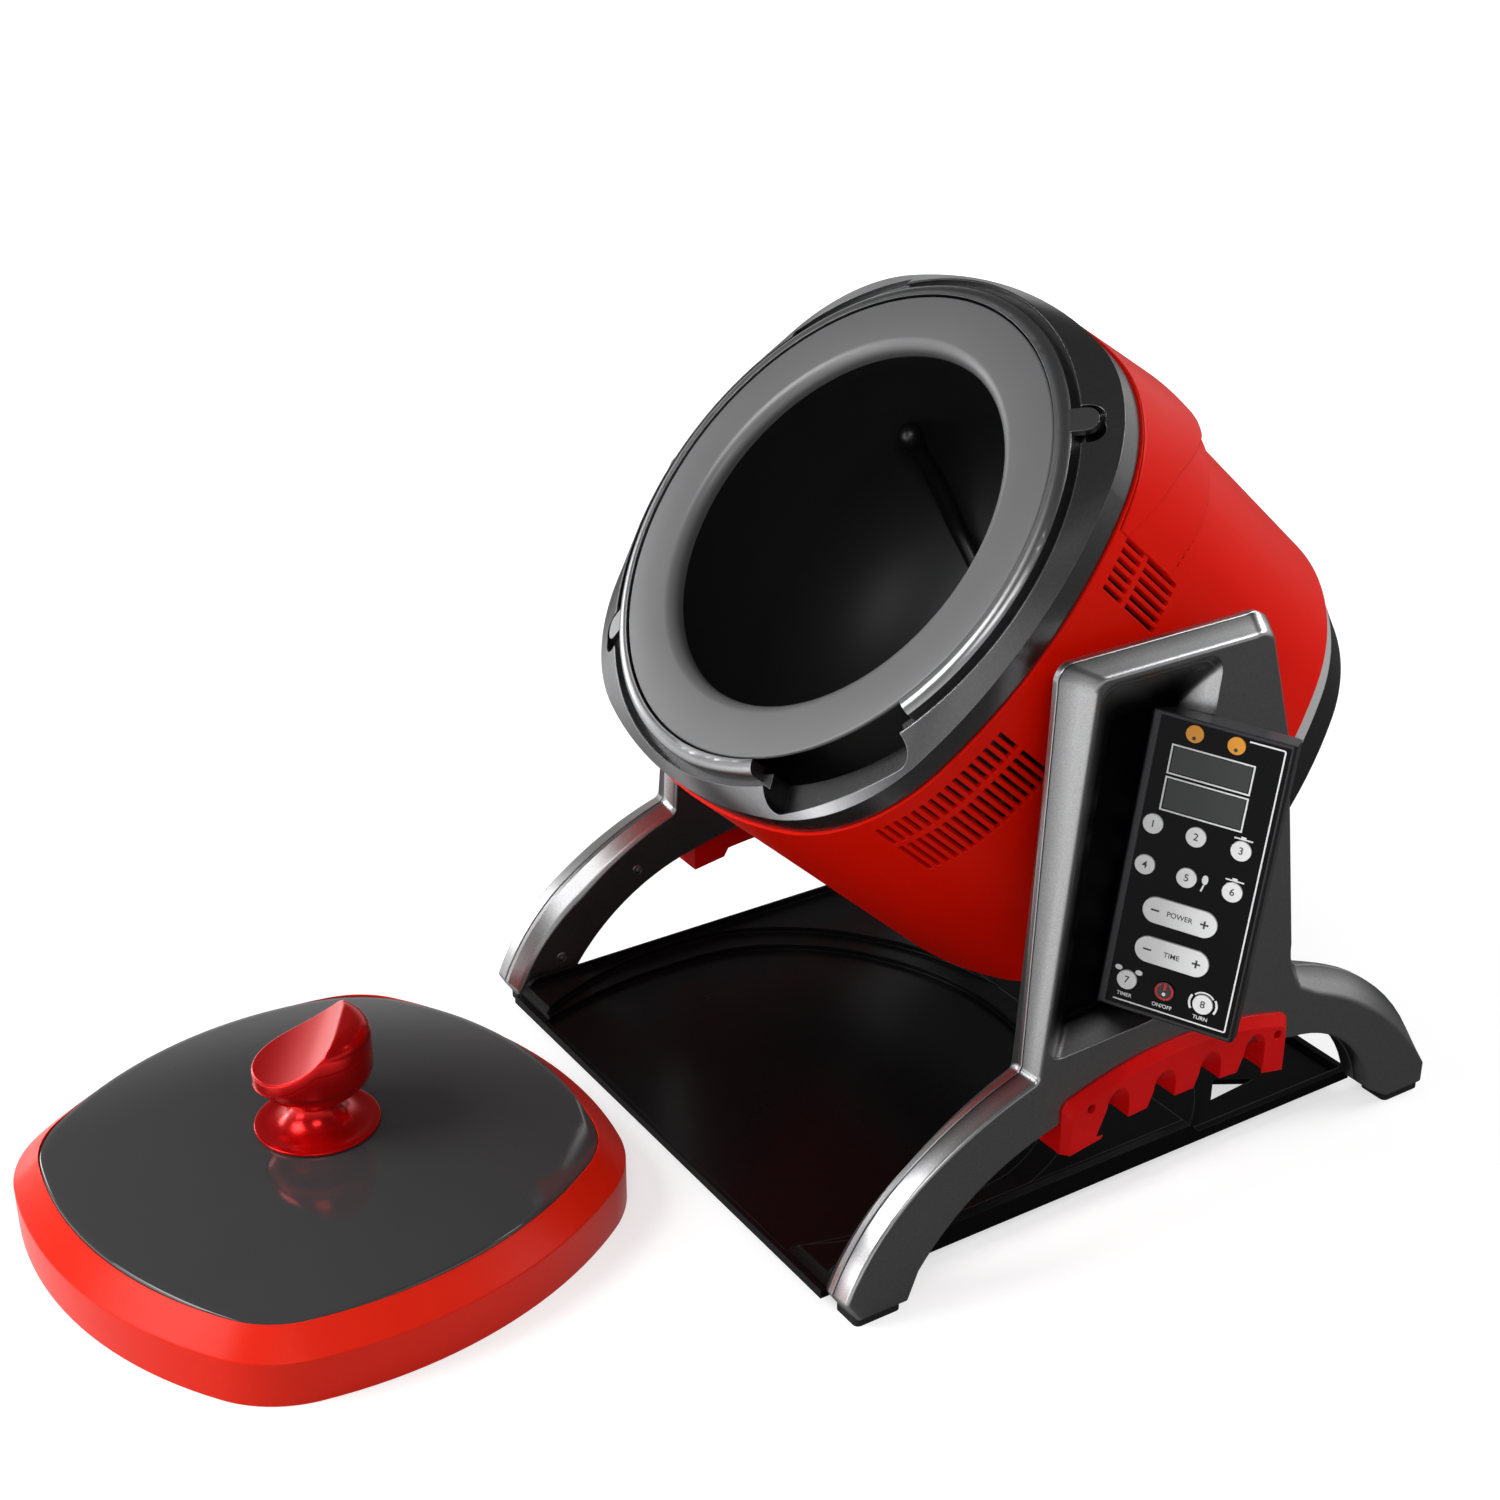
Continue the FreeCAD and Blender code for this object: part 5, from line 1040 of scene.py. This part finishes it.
# The seam's steps, as how far in from the outline and how far out from the seam
inner_seam_steps = ((0.3, 0.0), (0.0, 0.3))
outer_seam_steps = ((0.9, 0.0), (0.9, 0.7), (0.3, 0.8), (0.0, 1.2))


def arc_share(start, through, end, across):
    """Share of an arc at which its first coordinate reaches a value."""
    points = [Vector(start)] + arc_through(start, through, end, arc_fineness)
    nearest = min(range(arc_fineness + 1), key=lambda place: abs(points[place].x - across))
    return nearest / arc_fineness


def part_arc(start, through, end, first, last, steps):
    """Points on part of an arc, both ends included."""
    points = [Vector(start)] + arc_through(start, through, end, arc_fineness)
    shares = [first + (last - first) * step / steps for step in range(steps + 1)]
    return [points[round(arc_fineness * share)] for share in shares]


def path_points(start, steps, count):
    """Points after a start, along corners and arcs."""
    points = []
    here = Vector(start)
    for step in steps:
        if isinstance(step[0], tuple):
            points += arc_through(here, *step, count)
        else:
            points.append(Vector(step))
        here = points[-1]
    return points


def frame_outline(arch, tower):
    """Arch and tower as one closed line. Each such line has as many points, in the same order."""
    foot, toe, (bend, knee), (rise, front), (crown, back), (fall, heel), heel_low = arch
    share = arc_share(knee, rise, front, tower[0][0])
    into_tower = part_arc(knee, rise, front, 0.0, share, 10)
    share = arc_share(back, fall, heel, tower[-1][1][0])
    from_tower = part_arc(back, fall, heel, share, 1.0, 12)
    corners = [(*arch_start, sole_rounding), (*foot, sole_rounding), (*toe, toe_rounding)]
    corners += arc_through(toe, bend, knee, 8)
    corners += into_tower[1:-1] + [(*into_tower[-1], tower_rounding)]
    corners += path_points(tower[0], tower[1:-1], 10)
    corners += arc_through(tower[-2], *tower[-1], 8)[:-1] + from_tower[1:]
    corners += [(*heel_low, sole_rounding), (*arch_underside[0], sole_rounding),
                (*arch_underside[1], heel_rounding)]
    corners += path_points(arch_underside[1], arch_underside[2:], 12)
    return eased(corners, even_steps=4)


def inset(line, reach):
    """A closed line drawn in on its own inner side. A negative reach grows it."""
    count = len(line)
    area = sum(line[place - 1].cross(line[place]) for place in range(count))
    way = math.copysign(1.0, area)
    moved = []
    for place, here in enumerate(line):
        before = (here - line[place - 1]).normalized()
        after = (line[(place + 1) % count] - here).normalized()
        side = Vector((-before.y - after.y, before.x + after.x)).normalized() * way
        moved.append(here + side * (reach / max(before.cross(side) * way, 0.6)))
    return moved


def between(first, second, share):
    return [start.lerp(end, share) for start, end in zip(first, second)]


def at_x(x, line):
    return [(x, point[0], point[1]) for point in line]


def round_hole(radius, centre, count=24):
    return [Vector(centre) + Vector(polar(radius, angle)) for angle in turns(count)]


def fill(form, *rows):
    """Flat face inside the first row, with the other rows as holes."""
    edges = []
    for row in rows:
        for pair in zip([row[-1], *row], row):
            edges.append(form.mesh.edges.get(pair) or form.mesh.edges.new(pair))
    bmesh.ops.triangle_fill(form.mesh, use_beauty=True, edges=edges)


def passage(form, *places):
    """Walls of a hole through a shell, from its rim in one face to its rim in another."""
    made = form.skin([at_x(x, line) for x, line in places])
    return made[0], made[-1]


def window_line(corners, radius):
    return eased([(*corner, radius) for corner in corners], even_steps=6)


def shell_rows(seam_line, face_line, straight_x, face_x, seam_steps):
    """Rows from the seam out to a face: the seam's steps, the bevel and the rounded edge."""
    way = math.copysign(1.0, face_x - frame_seam)
    inner = inset(face_line, shell_wall)
    rows = [at_x(face_x - way * shell_wall, inner), at_x(frame_seam, inner)]
    for drop, out in seam_steps:
        rows.append(at_x(frame_seam + way * out, inset(seam_line, drop)))
    if straight_x != frame_seam:
        rows.append(at_x(straight_x, seam_line))
    for back, drop in rounding(face_round, 6):
        x = face_x - way * back
        share = (x - straight_x) / (face_x - straight_x)
        rows.append(at_x(x, inset(between(seam_line, face_line, share), drop)))
    return rows


def mirrored(form, side):
    if side < 0:
        bmesh.ops.scale(form.mesh, vec=(-1.0, 1.0, 1.0), verts=form.mesh.verts)


def make_inner_shell(side, node):
    """Half shell next to the drum, with the bush's boss and four screw holes."""
    form = Form()
    seam_line, face_line = frame_outline(seam_arch, seam_tower), frame_outline(inner_arch, inner_tower)
    made = form.skin(shell_rows(seam_line, face_line, inner_bevel_start, frame_inner, inner_seam_steps))
    wall_x = frame_inner + shell_wall
    centre = joint_place("drum_tilt").yz
    boss, bore = round_hole(bush_boss, centre, 48), round_hole(bush_bore, centre, 48)
    inside, outside = [made[0]], [made[-1]]
    holes = [((wall_x, boss), (frame_seam, boss), (frame_seam, bore), (frame_inner, bore))]
    for place in frame_screw_places:
        rim = round_hole(screw_hole, place)
        holes.append(((wall_x, rim), (frame_inner, rim)))
    for hole in holes:
        start, end = passage(form, *hole)
        inside.append(start)
        outside.append(end)
    fill(form, *inside)
    fill(form, *outside)
    mirrored(form, side)
    dress(weighted(form.object(node + "_rounded", Matrix.Identity(4))), "graphite_shell", node)


def make_outer_shell(side, node, floor_x, deep):
    """Outer half shell, whose window is a deep recess behind the console or a shallow panel."""
    form = Form()
    seam_line, face_line = frame_outline(seam_arch, seam_tower), frame_outline(outer_arch, outer_tower)
    made = form.skin(shell_rows(seam_line, face_line, frame_seam, frame_outer, outer_seam_steps))
    rim = window_line(window, window_rounding)
    floor = window_line(window_floor, floor_rounding) if deep else inset(rim, 0.5)
    edge, bend = recess_bends if deep else panel_bends
    places = [(frame_outer - drop, inset(rim, -back)) for back, drop in rounding(edge, 4)]
    for back, drop in rounding(bend, 4):
        share = (frame_outer - floor_x - back) / (frame_outer - floor_x)
        places.append((floor_x + back, inset(between(rim, floor, share), drop)))
    opening, bottom = passage(form, *places)
    fill(form, bottom)
    inside = [made[0]]
    if deep:
        share = shell_wall / (frame_outer - floor_x)
        back_rim = (frame_outer - shell_wall, inset(between(rim, floor, share), -recess_sheet))
        start, end = passage(form, back_rim, (floor_x - floor_sheet, inset(floor, -recess_sheet)))
        inside.append(start)
        fill(form, end)
    fill(form, *inside)
    fill(form, made[-1], opening)
    mirrored(form, side)
    # the deep recess takes the paint that carries painted shade
    paint = "graphite_window" if deep else "graphite_shell"
    dress(weighted(form.object(node + "_rounded", Matrix.Identity(4))), paint, node)


# Painted shade: the recess behind the console darkens to near black towards its floor.
blackened_recess(paints["graphite_window"], shade_full_below, shade_none_above)
make_inner_shell(1, "frame_inner_right")
make_inner_shell(-1, "frame_inner_left")
make_outer_shell(1, "frame_outer_right", recess_floor, True)
make_outer_shell(-1, "frame_outer_left", frame_outer - panel_depth, False)


# CAD nodes that stay, in their own paints

node_paints = {"key_on_off": "key_black", "console_housing": "console_black"}
for node, piece in frame["nodes"].items():
    piece.data.materials.clear()
    paint = node_paints.get(node, node_slots[node])
    piece.data.materials.append(paints[paint].material)


# Light: plain soft studio, and a white ground that keeps a soft shadow

white = (1.0, 1.0, 1.0, 1.0)
black = (0.0, 0.0, 0.0, 1.0)
ambient = 0.32
ground_reach = 9.0


def make_world():
    """White to the camera. In reflections the white backdrop gives way to a dim ceiling."""
    world = bpy.data.worlds.new("studio")
    bpy.context.scene.world = world
    world.use_nodes = True
    world.node_tree.nodes.clear()
    output = world.node_tree.nodes.new("ShaderNodeOutputWorld")
    sky = Network(world.node_tree)
    up = sky.node("SeparateXYZ", {}, {0: sky.node("TexCoord", {}, {}, "Generated")}, 2)
    ceiling = sky.ramp(up, start=0.08, end=0.46, first=0.8, last=0.11, interpolation_type="SMOOTHSTEP")
    reflected = sky.ray("Glossy").most(sky.ray("Transmission"))
    seen = sky.ray("Camera").most(reflected * ceiling)
    lighting = (sky.ray("Camera").most(reflected) - 1.0) * -ambient
    inputs = {"Color": white, "Strength": seen + lighting}
    sky.feed(output.inputs["Surface"], sky.node("Background", {}, inputs))


def add_softbox(name, place, aim, width, height, power):
    data = bpy.data.lights.new(name, "AREA")
    data.shape = "RECTANGLE"
    data.size = width
    data.size_y = height
    data.energy = power
    lamp = added(name, data)
    lamp.location = place
    lamp.rotation_euler = (Vector(aim) - Vector(place)).to_track_quat("-Z", "Y").to_euler()


def make_ground():
    """Pale ground. To the camera it glows to white further out, and metal sees it bright in front."""
    mesh = bpy.data.meshes.new("ground")
    corners = [(x * ground_reach, y * ground_reach, 0) for x, y in ((-1, -1), (1, -1), (1, 1), (-1, 1))]
    mesh.from_pydata(corners, [], [(0, 1, 2, 3)])
    ground = added("ground", mesh)
    paint = Paint("ground_white", (188, 188, 188), 0.9, specular=0.0)
    glossy_ray = paint.ray("Glossy")
    distance = paint.node("VectorMath", {"operation": "LENGTH"}, {0: paint.place()}, "Value")
    away = paint.ramp(distance, start=0.6, end=1.5, first=0.62, last=1.0)
    depth = paint.node("SeparateXYZ", {}, {0: paint.place()}, 1)
    front = paint.ramp(depth, start=-0.25, end=-0.18, first=1.0, last=0.08)
    paint.set("Base Color", paint.mix(glossy_ray - glossy_ray * front, paint.colour, linear((22, 22, 22))))
    glow = paint.ray("Camera").most(glossy_ray * front) * away
    paint.shader.inputs["Emission Strength"].default_value = 1.0
    paint.set("Emission Color", paint.mix(glow, black, white))
    mesh.materials.append(paint.material)


make_world()
make_ground()
add_softbox("key_light", (-0.45, -1.6, 1.3), (0.0, 0.0, 0.2), 0.9, 0.9, 27.0)
add_softbox("low_front", (-0.35, -2.0, 0.3), (0.0, 0.0, 0.15), 0.9, 0.3, 6.0)
add_softbox("left_strip", (-1.9, -0.9, 0.5), (0.0, 0.0, 0.2), 0.35, 1.0, 9.0)
add_softbox("fill_light", (1.5, -1.1, 1.5), (0.0, 0.0, 0.2), 0.9, 0.6, 10.0)
add_softbox("rear_light", (0.5, 1.5, 1.3), (0.0, 0.0, 0.3), 1.4, 0.4, 20.0)

bpy.context.scene.view_settings.view_transform = "Standard"
bpy.context.view_layer.update()
